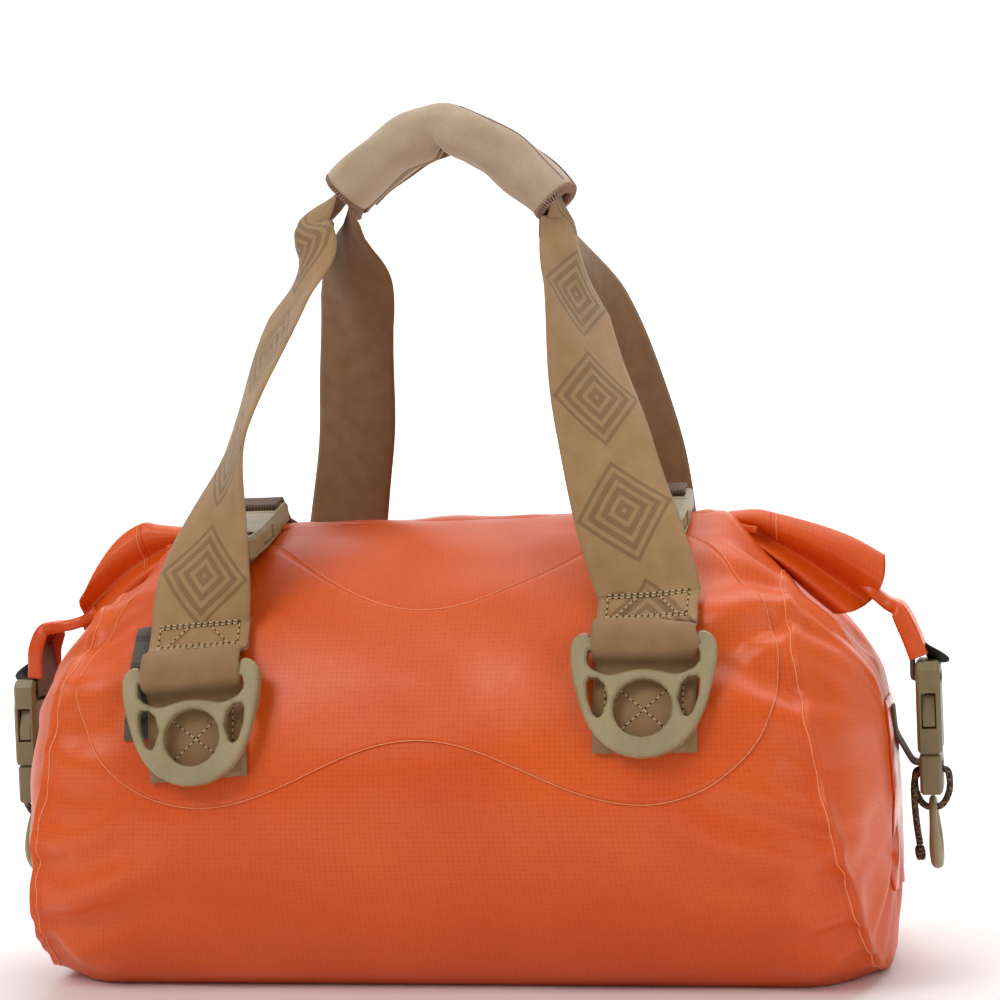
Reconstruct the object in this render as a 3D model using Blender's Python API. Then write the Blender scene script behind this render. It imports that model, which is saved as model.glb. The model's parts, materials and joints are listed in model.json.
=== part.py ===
"""Waterproof roll-top duffel: an orange coated-fabric body standing on its flat bottom, with its
folded neck held down by four side-release buckles, two webbing hand straps joined by a padded
wrap, four moulded carrying rings and a ring at each end. Metres, +Z up, -Y is the front."""

import math

import bmesh
import bpy
import numpy as np
from mathutils import Matrix, Vector

# Body: a lying tube whose section is an ellipse cut flat below
BODY_DEPTH = 0.230
SECTION_CENTRE_Z = 0.106
SECTION_HALF_HEIGHT = 0.120
SAG = 0.06
SEAM_X_AT_FLOOR = 0.218
SEAM_LEAN = 0.20
END_GATHER = 0.035
GATHER_FROM = 0.84
DOME = 0.025
WALL = 0.002
MOUTH_ANGLE = 0.07
GAP = 0.0004

# Sewn-on layers, as heights above the body
PATCH_UNDER, PATCH_TOP = 0.0011, 0.0019
LABEL_UNDER, LABEL_TOP = 0.0022, 0.0027
WEBBING_UNDER = 0.0030
STRAP_THICKNESS = 0.0020
TAPE_THICKNESS = 0.0018

# Bone-shaped reinforcement on the front and the back
BONE_HALF_LENGTH = 0.175
BONE_LOBE_X = 0.110
BONE_CENTRE_Z = 0.161
BONE_LOBE_HALF = 0.061
BONE_WAIST_HALF = 0.030

# Folded neck and its two ears
NECK_TOP = 0.0092
NECK_FRONT_ANGLE = 0.11
NECK_BACK_ANGLE = -0.46
NECK_FLAT_TO_X = 0.150
EAR_FROM_X = 0.178
EAR_TIP_X = 0.2215
EAR_TIP_Z = 0.2080
EAR_RAKE = 0.60
EAR_HALF_THICKNESS = 0.008

# Hand straps and their carrying rings
STRAP_WIDTH = 0.0508
GRIP_STRAP_WIDTH = 0.030
KEEPER_WIDTH = 0.0504
RING_BAR_OFFSET = 0.0122
RING_FOOT_OFFSET = 0.0122
RING_THICKNESS = 0.0064
KEEPER_INNER = 0.0044
KEEPER_OUTER = 0.0066
FRONT_ANCHOR_X = 0.1125
BACK_ANCHOR_X = 0.0900
# name: (x, height of the bar's seat on the body, turn in degrees, side: -1 front, 1 back)
ANCHORS = {
    "front_left": (-FRONT_ANCHOR_X, 0.1600, 4.0, -1),
    "front_right": (FRONT_ANCHOR_X, 0.1690, 0.0, -1),
    "back_left": (-BACK_ANCHOR_X, 0.1650, 0.0, 1),
    "back_right": (BACK_ANCHOR_X, 0.1650, 0.0, 1),
}
STRAP_LEAVES_BODY = 0.017
STRAPS_MEET = 0.88
ARCH_TOP_Z = 0.4385
ARCH_DROP = 0.035
ARCH_HALF = 0.056
WRAP_HALF_WIDTH, WRAP_HALF_HEIGHT, WRAP_WALL = 0.0215, 0.0135, 0.004
WRAP_SLIT = 0.30

# Side-release buckles for 25 mm tape
TAPE_HALF_WIDTH = 0.0125
ANCHOR_HALF_WIDTH, ANCHOR_THICKNESS = 0.0105, 0.0012
END_ANCHOR_HALF_WIDTH = 0.0100
BUCKLE_HALF_WIDTH, BUCKLE_HALF_THICKNESS = 0.0170, 0.0062
MALE_HALF_WIDTH, MALE_HALF_THICKNESS = 0.0160, 0.0056
SLOT_HALF_WIDTH = 0.0133
FEMALE_LENGTH, MALE_LENGTH = 0.046, 0.021
END_BUCKLE_X = 0.2415
END_MOUTH_Z = 0.1090
TOP_BUCKLE_X = 0.109
TOP_MOUTH = (-0.0175, 0.2357)
TOP_TILT = 15.0

# End rings and cord
END_RING_HALF_HEIGHT, END_RING_HALF_WIDTH, END_RING_RADIUS = 0.016, 0.0145, 0.002
END_RING_BAR_Z = 0.0838
CORD_RADIUS = 0.00175
LASH_Y = -0.007
LASH_ROUTE = [(0.2450, 0.1000), (0.2395, 0.1000), (0.2346, 0.0980), (0.2327, 0.0930), (0.2326, 0.0830),
              (0.2333, 0.0720), (0.2345, 0.0620)]
KNOT_RADIUS = 0.0029

LABEL_X = (-0.1485, -0.1265)
LABEL_Z = (0.133, 0.185)

ORANGE = (0.72, 0.12, 0.03)
TAN = (0.36, 0.26, 0.15)
BROWN = (0.16, 0.09, 0.045)
OLIVE = (0.30, 0.25, 0.15)
BEIGE = (0.45, 0.37, 0.28)
DARK = (0.03, 0.025, 0.025)


def clear_scene():
    for old in list(bpy.data.objects):
        bpy.data.objects.remove(old, do_unlink=True)


def material(name, colour, roughness):
    made = bpy.data.materials.new(name)
    made.use_nodes = True
    shader = made.node_tree.nodes["Principled BSDF"]
    shader.inputs["Base Color"].default_value = (*colour, 1)
    shader.inputs["Roughness"].default_value = roughness
    shader.inputs["Metallic"].default_value = 0
    return made


def place(name, data, made, matrix=None):
    """A named object on the scene, with its own copy of a material."""
    thing = bpy.data.objects.new(name, data)
    bpy.context.scene.collection.objects.link(thing)
    own = made.copy()
    own.name = name
    if not thing.data.materials:
        thing.data.materials.append(own)
    thing.material_slots[0].link = "OBJECT"
    thing.material_slots[0].material = own
    thing.matrix_world = matrix or Matrix.Identity(4)
    return thing


def mesh_from(bm, name):
    bmesh.ops.recalc_face_normals(bm, faces=bm.faces)
    data = bpy.data.meshes.new(name)
    bm.to_mesh(data)
    bm.free()
    data.shade_smooth()
    data.set_sharp_from_angle(angle=math.radians(40))
    return data


def slab(name, under, over, ring=False):
    """A closed solid between two grids of points of the same size. A ring's rows run right round,
    and its first line of points is closed with one face on each side."""
    rows, columns = under.shape[:2]
    bm = bmesh.new()
    sheets = [[[bm.verts.new(p) for p in row] for row in grid] for grid in (under, over)]
    last = columns if ring else columns - 1
    for sheet in sheets:
        for i in range(rows - 1):
            for j in range(last):
                k = (j + 1) % columns
                bm.faces.new((sheet[i][j], sheet[i][k], sheet[i + 1][k], sheet[i + 1][j]))
    low, high = sheets
    edges = [([(rows - 1, j) for j in range(columns)], ring)]
    if ring:
        bm.faces.new(low[0])
        bm.faces.new(high[0])
    else:
        edges.append(([(0, j) for j in range(columns)], False))
        edges.append(([(i, 0) for i in range(rows)], False))
        edges.append(([(i, columns - 1) for i in range(rows)], False))
    for edge, closed in edges:
        for a, b in zip(edge, edge[1:] + edge[:1] if closed else edge[1:]):
            bm.faces.new((low[a[0]][a[1]], low[b[0]][b[1]], high[b[0]][b[1]], high[a[0]][a[1]]))
    return mesh_from(bm, name)


def loft(name, sections):
    """A closed solid through closed sections of the same number of points, with flat ends."""
    bm = bmesh.new()
    rings = [[bm.verts.new(p) for p in section] for section in sections]
    count = len(rings[0])
    for near, far in zip(rings, rings[1:]):
        for j in range(count):
            k = (j + 1) % count
            bm.faces.new((near[j], near[k], far[k], far[j]))
    bm.faces.new(rings[0])
    bm.faces.new(rings[-1])
    return mesh_from(bm, name)


def plate(name, outlines, thickness, bevel, steps=3):
    """A flat curve filled between its outlines and extruded to a thickness, in its own X-Y plane.
    An outline's point is (x, y) for a smooth one and (x, y, "corner") for a sharp one."""
    data = bpy.data.curves.new(name, "CURVE")
    data.dimensions = "2D"
    data.fill_mode = "BOTH"
    data.extrude = thickness / 2 - bevel
    data.bevel_depth = bevel
    data.bevel_resolution = 0
    data.offset = -bevel
    data.resolution_u = steps
    for outline in outlines:
        spline = data.splines.new("BEZIER")
        spline.bezier_points.add(len(outline) - 1)
        spline.use_cyclic_u = True
        for knot, point in zip(spline.bezier_points, outline):
            knot.co = (point[0], point[1], 0)
            kind = "VECTOR" if len(point) == 3 else "AUTO"
            knot.handle_left_type = kind
            knot.handle_right_type = kind
    return data


def tube(name, points, radius, closed=False, resolution=2):
    data = bpy.data.curves.new(name, "CURVE")
    data.dimensions = "3D"
    data.bevel_depth = radius
    data.bevel_resolution = resolution
    data.use_fill_caps = not closed
    spline = data.splines.new("POLY")
    spline.points.add(len(points) - 1)
    spline.use_cyclic_u = closed
    for knot, point in zip(spline.points, points):
        knot.co = (*point, 1)
    return data


def smooth_through(points, count):
    """Count points evenly along a Catmull-Rom curve through the given ones."""
    p = np.array(points, float)
    p = np.vstack([2 * p[0] - p[1], p, 2 * p[-1] - p[-2]])
    t = np.linspace(0, 1, 30, endpoint=False)[:, None]
    fine = [
        0.5 * (2 * b + (c - a) * t + (2 * a - 5 * b + 4 * c - d) * t**2 + (3 * b - a - 3 * c + d) * t**3)
        for a, b, c, d in zip(p, p[1:], p[2:], p[3:])
    ]
    fine = np.vstack([*fine, p[-2:-1]])
    along = np.r_[0, np.cumsum(np.linalg.norm(np.diff(fine, axis=0), axis=1))]
    at = np.linspace(0, along[-1], count)
    return np.stack([np.interp(at, along, fine[:, i]) for i in range(3)], axis=1)


def unit(v):
    return v / np.linalg.norm(v, axis=-1, keepdims=True)


def ribbon(name, centres, across, half_width, thickness):
    """A flat strap along a line of centres, each with its own direction across the strap."""
    centres, across = np.array(centres, float), unit(np.array(across, float))
    along = unit(np.gradient(centres, axis=0))
    up = unit(np.cross(along, across))
    half = np.broadcast_to(half_width, len(centres))[:, None]
    edges = [centres - across * half, centres, centres + across * half]
    under = np.stack([edge - up * thickness / 2 for edge in edges], axis=1)
    over = np.stack([edge + up * thickness / 2 for edge in edges], axis=1)
    return slab(name, under, over)


def rounded(points, radius, steps=3):
    """A line of points with each corner swapped for a short curve."""
    points = [np.array(p, float) for p in points]
    made = [points[0]]
    for before, corner, after in zip(points, points[1:], points[2:]):
        start = corner + unit(before - corner) * radius
        end = corner + unit(after - corner) * radius
        for s in np.linspace(0, 1, steps + 1):
            made.append(start * (1 - s) ** 2 + corner * 2 * s * (1 - s) + end * s**2)
    return np.array([*made, points[-1]])


def ease(value, low, high):
    s = np.clip((np.asarray(value, float) - low) / (high - low), 0, 1)
    return s * s * (3 - 2 * s)


# The body's surface


def seam_x(z):
    """Half the body's length at a height: the ends lean in towards the top."""
    return SEAM_X_AT_FLOOR - SEAM_LEAN * z


def section(angle):
    """The body's cross-section (y, z) at an angle from the top, positive towards the front."""
    y = -BODY_DEPTH / 2 * np.sin(angle) * (1 - SAG * np.cos(angle))
    return y, SECTION_CENTRE_Z + SECTION_HALF_HEIGHT * np.cos(angle)


def body_point(x, angle, height=0.0):
    """A point at a height above the body's surface, gathered in a little near the end seams."""
    x, angle = np.broadcast_arrays(np.asarray(x, float), np.asarray(angle, float))
    step = 1e-4
    y0, z0 = section(angle - step)
    y1, z1 = section(angle + step)
    y, z = section(angle)
    length = np.hypot(y1 - y0, z1 - z0)
    out_y, out_z = -(z1 - z0) / length * -1, (y1 - y0) / length * -1
    y, z = y + out_y * height, z + out_z * height
    gather = 1 - END_GATHER * ease(abs(x) / seam_x(z), GATHER_FROM, 1) ** 2
    middle = SECTION_CENTRE_Z
    z = middle + (z - middle) * gather
    return np.stack([x, y * gather, np.maximum(z, height * (z < 0) * -1)], axis=-1)


def angle_at(z):
    return np.arccos((z - SECTION_CENTRE_Z) / SECTION_HALF_HEIGHT)


def body_at(x, z, side, height=0.0):
    """The body's point at a height z on the front (side -1) or the back (side 1)."""
    return body_point(x, -side * angle_at(z), height)


def make_body():
    cloth = material("orange_coated_cloth", ORANGE, 0.4)
    share = np.linspace(-1, 1, 13)
    angles = np.linspace(MOUTH_ANGLE, 2 * math.pi - MOUTH_ANGLE, 49)
    grids = []
    for depth in (WALL, 0.0):
        y, z = section(angles)
        y, z = y * (1 - depth / 0.115), SECTION_CENTRE_Z + (z - SECTION_CENTRE_Z) * (1 - depth / 0.12)
        z = np.maximum(z, depth)
        gather = 1 - END_GATHER * ease(abs(share), GATHER_FROM, 1)[:, None] ** 2
        zz = SECTION_CENTRE_Z + (z - SECTION_CENTRE_Z) * gather
        yy = y * gather
        xx = share[:, None] * seam_x(zz)
        grids.append(np.stack([xx, yy, zz], axis=-1))
    place("body_wrap", slab("body_wrap", *grids), cloth)

    around = np.linspace(0, 2 * math.pi, 34, endpoint=False)
    y, z = section(around)
    z = np.maximum(z, 0)
    rim_y = y * (1 - END_GATHER)
    rim_z = SECTION_CENTRE_Z + (z - SECTION_CENTRE_Z) * (1 - END_GATHER)
    reach = np.array([0.08, 0.3, 0.52, 0.72, 0.88, 1.0])[:, None]
    py = reach * rim_y
    pz = SECTION_CENTRE_Z + reach * (rim_z - SECTION_CENTRE_Z)
    for side, name in ((-1, "left"), (1, "right")):
        inner = seam_x(pz) + GAP + DOME * (1 - reach**2)
        under = np.stack([side * inner, py, pz], axis=-1)
        over = np.stack([side * (inner + WALL), py, pz], axis=-1)
        place(f"end_panel_{name}", slab(f"end_panel_{name}", under, over, ring=True), cloth)
        # a rounded tongue that carries the end buckle's anchor
        span = np.linspace(-1, 1, 7)[None, :]
        up = np.linspace(0.032, 0.138, 9)[:, None]
        half = 0.034 * np.sqrt(1 - np.clip(abs(up - 0.085) / 0.060, 0, 1) ** 4)
        yy = span * half
        zz = up + 0 * span
        share = np.hypot(yy / 0.111, (zz - SECTION_CENTRE_Z) / 0.116)
        xx = seam_x(zz) + GAP + WALL + DOME * (1 - share**2)
        under = np.stack([side * (xx + 0.0006), yy, zz], axis=-1)
        over = np.stack([side * (xx + 0.0016), yy, zz], axis=-1)
        place(f"end_patch_{name}", slab(f"end_patch_{name}", under, over), cloth)

    x = BONE_HALF_LENGTH * np.sin(np.linspace(-1.52, 1.52, 21))[:, None]
    lobe = np.sqrt(1 - np.clip((abs(x) - BONE_LOBE_X) / (BONE_HALF_LENGTH - BONE_LOBE_X), 0, 1) ** 2)
    waist = (1 - np.cos(math.pi * np.clip(abs(x) / BONE_LOBE_X, 0, 1))) / 2
    half = (BONE_WAIST_HALF + (BONE_LOBE_HALF - BONE_WAIST_HALF) * waist) * lobe
    low, high = angle_at(BONE_CENTRE_Z - half), angle_at(BONE_CENTRE_Z + half)
    angle = low + (high - low) * np.linspace(0, 1, 11)[None, :]
    for side, name in ((-1, "front_patch"), (1, "back_patch")):
        grids = [body_point(x, -side * angle, height) for height in (PATCH_UNDER, PATCH_TOP)]
        place(name, slab(name, *grids), cloth)


def neck_section(x):
    """The folded neck's outline at a place along it: a flat strip on the body's top that turns
    into an upright, drooping ear past the body's end."""
    count = 9
    w = np.linspace(0, 1, count)
    angle = NECK_FRONT_ANGLE + (NECK_BACK_ANGLE - NECK_FRONT_ANGLE) * w
    swell = np.sin(math.pi * w) ** 0.4
    inside = min(abs(x), 0.14)
    low = body_point(inside, angle, 0.0022 + 0.0017 * swell)
    high = body_point(inside, angle, 0.0034 + (NECK_TOP - 0.0034) * swell)
    strip = np.vstack([low[::-1], high])[:, 1:]
    top = np.interp(abs(x), [0.160, EAR_TIP_X], [0.2350, EAR_TIP_Z])
    low_x = [0.150, 0.165, 0.178, 0.186, 0.195, 0.204, 0.213, EAR_TIP_X]
    foot = np.interp(abs(x), low_x, [0.2285, 0.2275, 0.2235, 0.2140, 0.2040, 0.1930, 0.1860, 0.1780])
    turn = -np.r_[np.linspace(0.06, 0.94, count), np.linspace(1.06, 1.94, count)] * math.pi
    grow = np.interp(abs(x), [0.150, 0.200], [1.6, 1.0])
    ear_y = 0.004 + np.cos(turn) * EAR_HALF_THICKNESS * grow
    ear_z = (top + foot) / 2 + np.sin(turn) * (top - foot) / 2
    ear = np.stack([ear_y, ear_z], axis=1)
    f = ease(abs(x), NECK_FLAT_TO_X, EAR_FROM_X)
    flat = strip * (1 - f) + ear * f
    rake = EAR_RAKE * ease(abs(x), EAR_FROM_X, EAR_TIP_X)
    xs = x + np.sign(x) * rake * (flat[:, 1] - EAR_TIP_Z)
    return np.column_stack([xs, flat])


def make_neck():
    cloth = material("orange_neck_cloth", ORANGE, 0.4)
    stiff = material("closure_rail", (0.55, 0.5, 0.42), 0.5)
    half = np.r_[0.05, 0.10, 0.140, 0.150, 0.157, 0.164, 0.171, 0.178, 0.186, 0.195, 0.204, 0.213, EAR_TIP_X]
    stations = np.r_[-half[::-1], half]
    place("throat", loft("throat", [neck_section(x) for x in stations]), cloth)
    for name, first, last in (("closure_rail_front", -0.02, -0.115), ("closure_rail_back", -0.13, -0.225)):
        x = np.array([-0.138, 0.0, 0.138])[:, None]
        angle = np.linspace(first, last, 5)[None, :]
        grids = [body_point(x, angle, height) for height in (0.0005, 0.0030)]
        place(name, slab(name, *grids), stiff)


# Carrying rings, keepers and hand straps


def anchor_frame(x, seat_z, turn, side):
    """The axes of a carrying ring: X along its bar, Y up its length and Z outwards."""
    seat = body_at(x, seat_z, side, RING_BAR_OFFSET)
    foot = body_at(x, seat_z - 0.052, side, RING_FOOT_OFFSET)
    down = unit(foot - seat)
    along = np.array([-side, 0.0, 0.0])
    out = unit(np.cross(along, -down))
    spin = Matrix.Rotation(math.radians(turn), 3, Vector(out))
    along, up = np.array(spin @ Vector(along)), np.array(spin @ Vector(-down))
    frame = Matrix.Identity(4)
    for column, axis in enumerate((along, up, out)):
        for row in range(3):
            frame[row][column] = axis[row]
    frame.translation = Vector(seat)
    return frame


def carrying_ring():
    """Outline and holes: a bar at the top, a webbing window, a finger hole and two side slots."""
    mm = 0.001
    right = [(27, 5.0), (31, 4.6), (34.6, 0.5), (35.2, -5), (34.3, -13.5), (31.6, -25), (27.6, -36.5)]
    right += [(21.5, -46), (12, -53)]
    bar_top = [(-25.6, 3.2, "corner"), (25.6, 3.2, "corner")]
    outer = bar_top + right + [(0, -55.4)] + [(-x, y) for x, y in reversed(right)]
    wave = [(27.2, -9.6), (20.5, -14.6), (14.8, -15.6), (8, -14), (0, -13.1)]
    window = [(-26.6, -3.2, "corner"), (26.6, -3.2, "corner")] + wave
    window += [(-x, y) for x, y in reversed(wave[:-1])]
    turns = np.linspace(0, 2 * math.pi, 10, endpoint=False)
    hole = [(14.3 * math.cos(a), -31.7 + 14.3 * math.sin(a)) for a in turns]
    slot = [(18.3, -20.2), (26.0, -16.4), (27.2, -21.5), (25.2, -31), (21.5, -36.4), (18.9, -34.5)]
    slots = [slot, [(-x, y) for x, y in slot]]
    outlines = [outer, window, hole, *slots]
    scaled = [[(p[0] * mm, p[1] * mm, *p[2:]) for p in outline] for outline in outlines]
    return plate("carrying_ring", scaled, RING_THICKNESS, 0.0010, steps=2)


def keeper_outline(frame, x, seat_z, side):
    """The keeper's side view, as (out, up) from the bar's axis: a loop round the bar with a tail
    that lies along the body."""
    inverse = frame.inverted()
    heights = np.linspace(seat_z - 0.045, seat_z - 0.012, 7)
    seen = []
    for height in (WEBBING_UNDER, WEBBING_UNDER + 0.0022):
        points = body_at(x, heights, side, height)
        local = [inverse @ Vector(p) for p in points]
        seen.append([(p.z, p.y) for p in local])
    under, over = seen
    loop = [
        (KEEPER_OUTER * math.cos(a), KEEPER_OUTER * math.sin(a))
        for a in np.linspace(math.radians(-90), math.radians(205), 14)
    ]
    outline = loop + [(-0.0062, -0.0068)] + under[::-1][1:] + over
    return [(*p, "corner") for p in outline]


def make_rings():
    plastic = material("ring_plastic", OLIVE, 0.45)
    webbing = material("keeper_webbing", TAN, 0.8)
    shape = carrying_ring()
    bore = [
        (KEEPER_INNER * math.cos(a), KEEPER_INNER * math.sin(a), "corner")
        for a in np.linspace(0, 2 * math.pi, 16, endpoint=False)
    ]
    for name, (x, seat_z, turn, side) in ANCHORS.items():
        frame = anchor_frame(x, seat_z, turn, side)
        place(f"d_ring_{name}", shape.copy(), plastic, frame)
        outline = keeper_outline(frame, x, seat_z, side)
        data = plate(f"ring_keeper_{name}", [outline, bore], KEEPER_WIDTH, 0.0, steps=1)
        # the side view's (out, up) becomes the ring's Z and Y, and its extrusion the bar's X
        swap = Matrix(((0, 0, -1, 0), (0, 1, 0, 0), (1, 0, 0, 0), (0, 0, 0, 1)))
        place(f"ring_keeper_{name}", data, webbing, frame @ swap)


def arch_point(x, lift=0.0):
    """A point along the grip's arch, lifted square to it."""
    z = ARCH_TOP_Z - ARCH_DROP * abs(x / ARCH_HALF) ** 1.6
    slope = -ARCH_DROP * 1.6 / ARCH_HALF * abs(x / ARCH_HALF) ** 0.6 * np.sign(x)
    out = unit(np.stack([-slope, np.ones_like(slope)], axis=-1))
    return np.stack([x + out[..., 0] * lift, 0 * x, z + out[..., 1] * lift], axis=-1)


def strap_line(side):
    """Centres, directions across and half widths of a hand strap, from its right foot, through
    the grip, to its left foot."""
    where = "front" if side < 0 else "back"
    lift = 0.0028 if side < 0 else -0.0028
    halves = []
    for end, name in ((1, "right"), (-1, "left")):
        x, seat_z, turn, _ = ANCHORS[f"{where}_{name}"]
        foot_heights = np.linspace(seat_z - 0.001, seat_z + STRAP_LEAVES_BODY, 4)
        foot = body_at(x, foot_heights, side, WEBBING_UNDER + 0.001)
        top = arch_point(np.array(end * ARCH_HALF * 1.06), lift)
        rise = np.linspace(0.06, 1, 12)[:, None]
        free = foot[-1] * (1 - rise) + top * rise
        free[:, 1] = foot[-1, 1] * (1 - np.minimum(rise[:, 0] / STRAPS_MEET, 1) ** 1.2)
        twist = np.r_[np.zeros(4), ease(rise[:, 0], 0.15, 0.88)] * math.pi / 2
        flat = np.array([1.0, 0.0, 0.0])
        centres = np.vstack([foot, free])
        along = unit(np.gradient(centres, axis=0))
        across = flat * np.cos(twist)[:, None] + np.array([0.0, end, 0.0]) * np.sin(twist)[:, None]
        across = across - along * np.sum(across * along, axis=1, keepdims=True)
        half = STRAP_WIDTH / 2 + (GRIP_STRAP_WIDTH - STRAP_WIDTH) / 2 * ease(rise[:, 0], 0.3, 1.0)
        halves.append((centres, unit(across) * end, np.r_[np.full(4, STRAP_WIDTH / 2), half]))
    inside = arch_point(np.linspace(ARCH_HALF * 0.94, -ARCH_HALF * 0.94, 11), lift)
    (rc, ra, rh), (lc, la, lh) = halves
    centres = np.vstack([rc, inside, lc[::-1]])
    across = np.vstack([ra, np.tile([0.0, 1.0, 0.0], (11, 1)), la[::-1]])
    half = np.r_[rh, np.full(11, GRIP_STRAP_WIDTH / 2), lh[::-1]]
    return centres, across, half


def make_handle():
    webbing = material("handle_webbing", TAN, 0.8)
    for side, name in ((-1, "handle_strap_front"), (1, "handle_strap_back")):
        centres, across, half = strap_line(side)
        place(name, ribbon(name, centres, across, half, STRAP_THICKNESS), webbing)

    x = np.linspace(-ARCH_HALF, ARCH_HALF, 11)[:, None]
    turn = np.linspace(-math.pi / 2 + WRAP_SLIT, 3 * math.pi / 2 - WRAP_SLIT, 19)[None, :]
    grids = []
    for shrink in (WRAP_WALL, 0.0):
        across = (WRAP_HALF_WIDTH - shrink) * np.cos(turn)
        rise = (WRAP_HALF_HEIGHT - shrink) * np.sin(turn)
        xx = x + 0 * turn
        points = arch_point(xx, rise)
        points[..., 1] = across
        grids.append(points)
    padding = material("neoprene_wrap", BEIGE, 0.9)
    place("handle_wrap", slab("handle_wrap", *grids), padding)


# Buckles. A buckle's own axes: X across, Y through its thickness, Z from the male into the female


def box_mesh(low, high, bevel):
    bm = bmesh.new()
    bmesh.ops.create_cube(bm, size=1)
    low, high = Vector(low), Vector(high)
    for v in bm.verts:
        v.co = Vector([(low[i] + high[i]) / 2 + v.co[i] * (high[i] - low[i]) for i in range(3)])
    if bevel:
        bmesh.ops.bevel(bm, geom=bm.edges, offset=bevel, segments=1, affect="EDGES")
    return mesh_from(bm, "block")


def prism_mesh(outline, thickness, bevel):
    """An outline in the X-Z plane, extruded through Y, with bevelled long edges."""
    bm = bmesh.new()
    near = [bm.verts.new((x, -thickness / 2, z)) for x, z in outline]
    face = bm.faces.new(near)
    far = bmesh.ops.extrude_face_region(bm, geom=[face])["geom"]
    moved = [v for v in far if isinstance(v, bmesh.types.BMVert)]
    bmesh.ops.translate(bm, verts=moved, vec=(0, thickness, 0))
    if bevel:
        level = [e for e in bm.edges if abs(e.verts[0].co.y - e.verts[1].co.y) < 1e-6]
        bmesh.ops.bevel(bm, geom=level, offset=bevel, segments=1, affect="EDGES")
    return mesh_from(bm, "prism")


def carved(name, base, cutters, joined=()):
    """A mesh with others joined to it and others cut from it."""
    body = bpy.data.objects.new("carving", base)
    bpy.context.scene.collection.objects.link(body)
    helpers = []
    for operation, meshes in (("UNION", joined), ("DIFFERENCE", cutters)):
        for data in meshes:
            helper = bpy.data.objects.new("cutter", data)
            bpy.context.scene.collection.objects.link(helper)
            helper.hide_render = True
            helper.display_type = "WIRE"
            step = body.modifiers.new("cut", "BOOLEAN")
            step.operation = operation
            step.object = helper
            helpers.append(helper)
    bpy.context.view_layer.update()
    graph = bpy.context.evaluated_depsgraph_get()
    data = bpy.data.meshes.new_from_object(body.evaluated_get(graph))
    data.name = name
    for helper in [*helpers, body]:
        bpy.data.objects.remove(helper, do_unlink=True)
    data.materials.clear()
    data.shade_smooth()
    data.set_sharp_from_angle(angle=math.radians(30))
    return data


def buckle_meshes():
    w, t = BUCKLE_HALF_WIDTH, BUCKLE_HALF_THICKNESS
    right = [(w, 0.0), (w, 0.030), (0.0160, 0.034), (0.0160, 0.042), (0.0135, FEMALE_LENGTH)]
    outline = right + [(-x, z) for x, z in reversed(right)]
    cavity = box_mesh((-0.0142, -0.0042, -0.001), (0.0142, 0.0042, 0.0310), 0)
    windows = [
        box_mesh((side * 0.0170 - 0.0035, -0.0036, 0.0126), (side * 0.0170 + 0.0035, 0.0036, 0.0305), 0)
        for side in (-1, 1)
    ]
    slot = box_mesh((-SLOT_HALF_WIDTH, -0.01, 0.0345), (SLOT_HALF_WIDTH, 0.01, 0.0400), 0)
    female = carved("buckle_female", prism_mesh(outline, 2 * t, 0.0016), [cavity, *windows, slot])
    mw, mt = MALE_HALF_WIDTH, MALE_HALF_THICKNESS
    base = box_mesh((-mw, -mt, -MALE_LENGTH), (mw, mt, -0.0003), 0.0014)
    tongue = box_mesh((-0.003, -0.0033, -0.003), (0.003, 0.0033, 0.024), 0.0008)
    eye = box_mesh((-SLOT_HALF_WIDTH, -0.01, -0.0125), (SLOT_HALF_WIDTH, 0.01, -0.0050), 0)
    male = carved("buckle_male", base, [eye], [tongue])
    arm = [(-0.0009, -0.0009), (0.0019, -0.0009), (0.0021, 0.0121), (0.0058, 0.0126), (0.0058, 0.019)]
    arm += [(0.0023, 0.0285), (0.0001, 0.0285), (-0.0011, 0.013)]
    prong = prism_mesh(arm, 0.0064, 0)
    return female, male, prong


def buckle_frame(origin, across, through):
    across, through = Vector(across), Vector(through)
    into = across.cross(through)
    frame = Matrix.Identity(4)
    for column, axis in enumerate((across, through, into)):
        for row in range(3):
            frame[row][column] = axis[row]
    frame.translation = Vector(origin)
    return frame


def make_buckles():
    plastic = material("buckle_plastic", OLIVE, 0.45)
    female, male, prong = buckle_meshes()
    tilt = math.radians(TOP_TILT)
    frames = {}
    for side, name in ((-1, "left"), (1, "right")):
        origin = (side * END_BUCKLE_X, 0, END_MOUTH_Z)
        frames[f"{name}_end"] = buckle_frame(origin, (0, side, 0), (-side, 0, 0))
        origin = (side * TOP_BUCKLE_X, *TOP_MOUTH)
        frames[f"{name}_top"] = buckle_frame(origin, (1, 0, 0), (0, -math.sin(tilt), math.cos(tilt)))
    for name, frame in frames.items():
        place(f"{name}_buckle_female", female.copy(), plastic, frame)
        place(f"{name}_buckle_male", male.copy(), plastic, frame)
        for turn, which in ((0, "a"), (180, "b")):
            spin = frame @ Matrix.Rotation(math.radians(turn), 4, "Z")
            root = Matrix.Translation((0.0105, 0, 0.0010))
            place(f"{name}_buckle_prong_{which}", prong.copy(), plastic, spin @ root)
    return frames


# Tapes, tabs, end rings and cord


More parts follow.
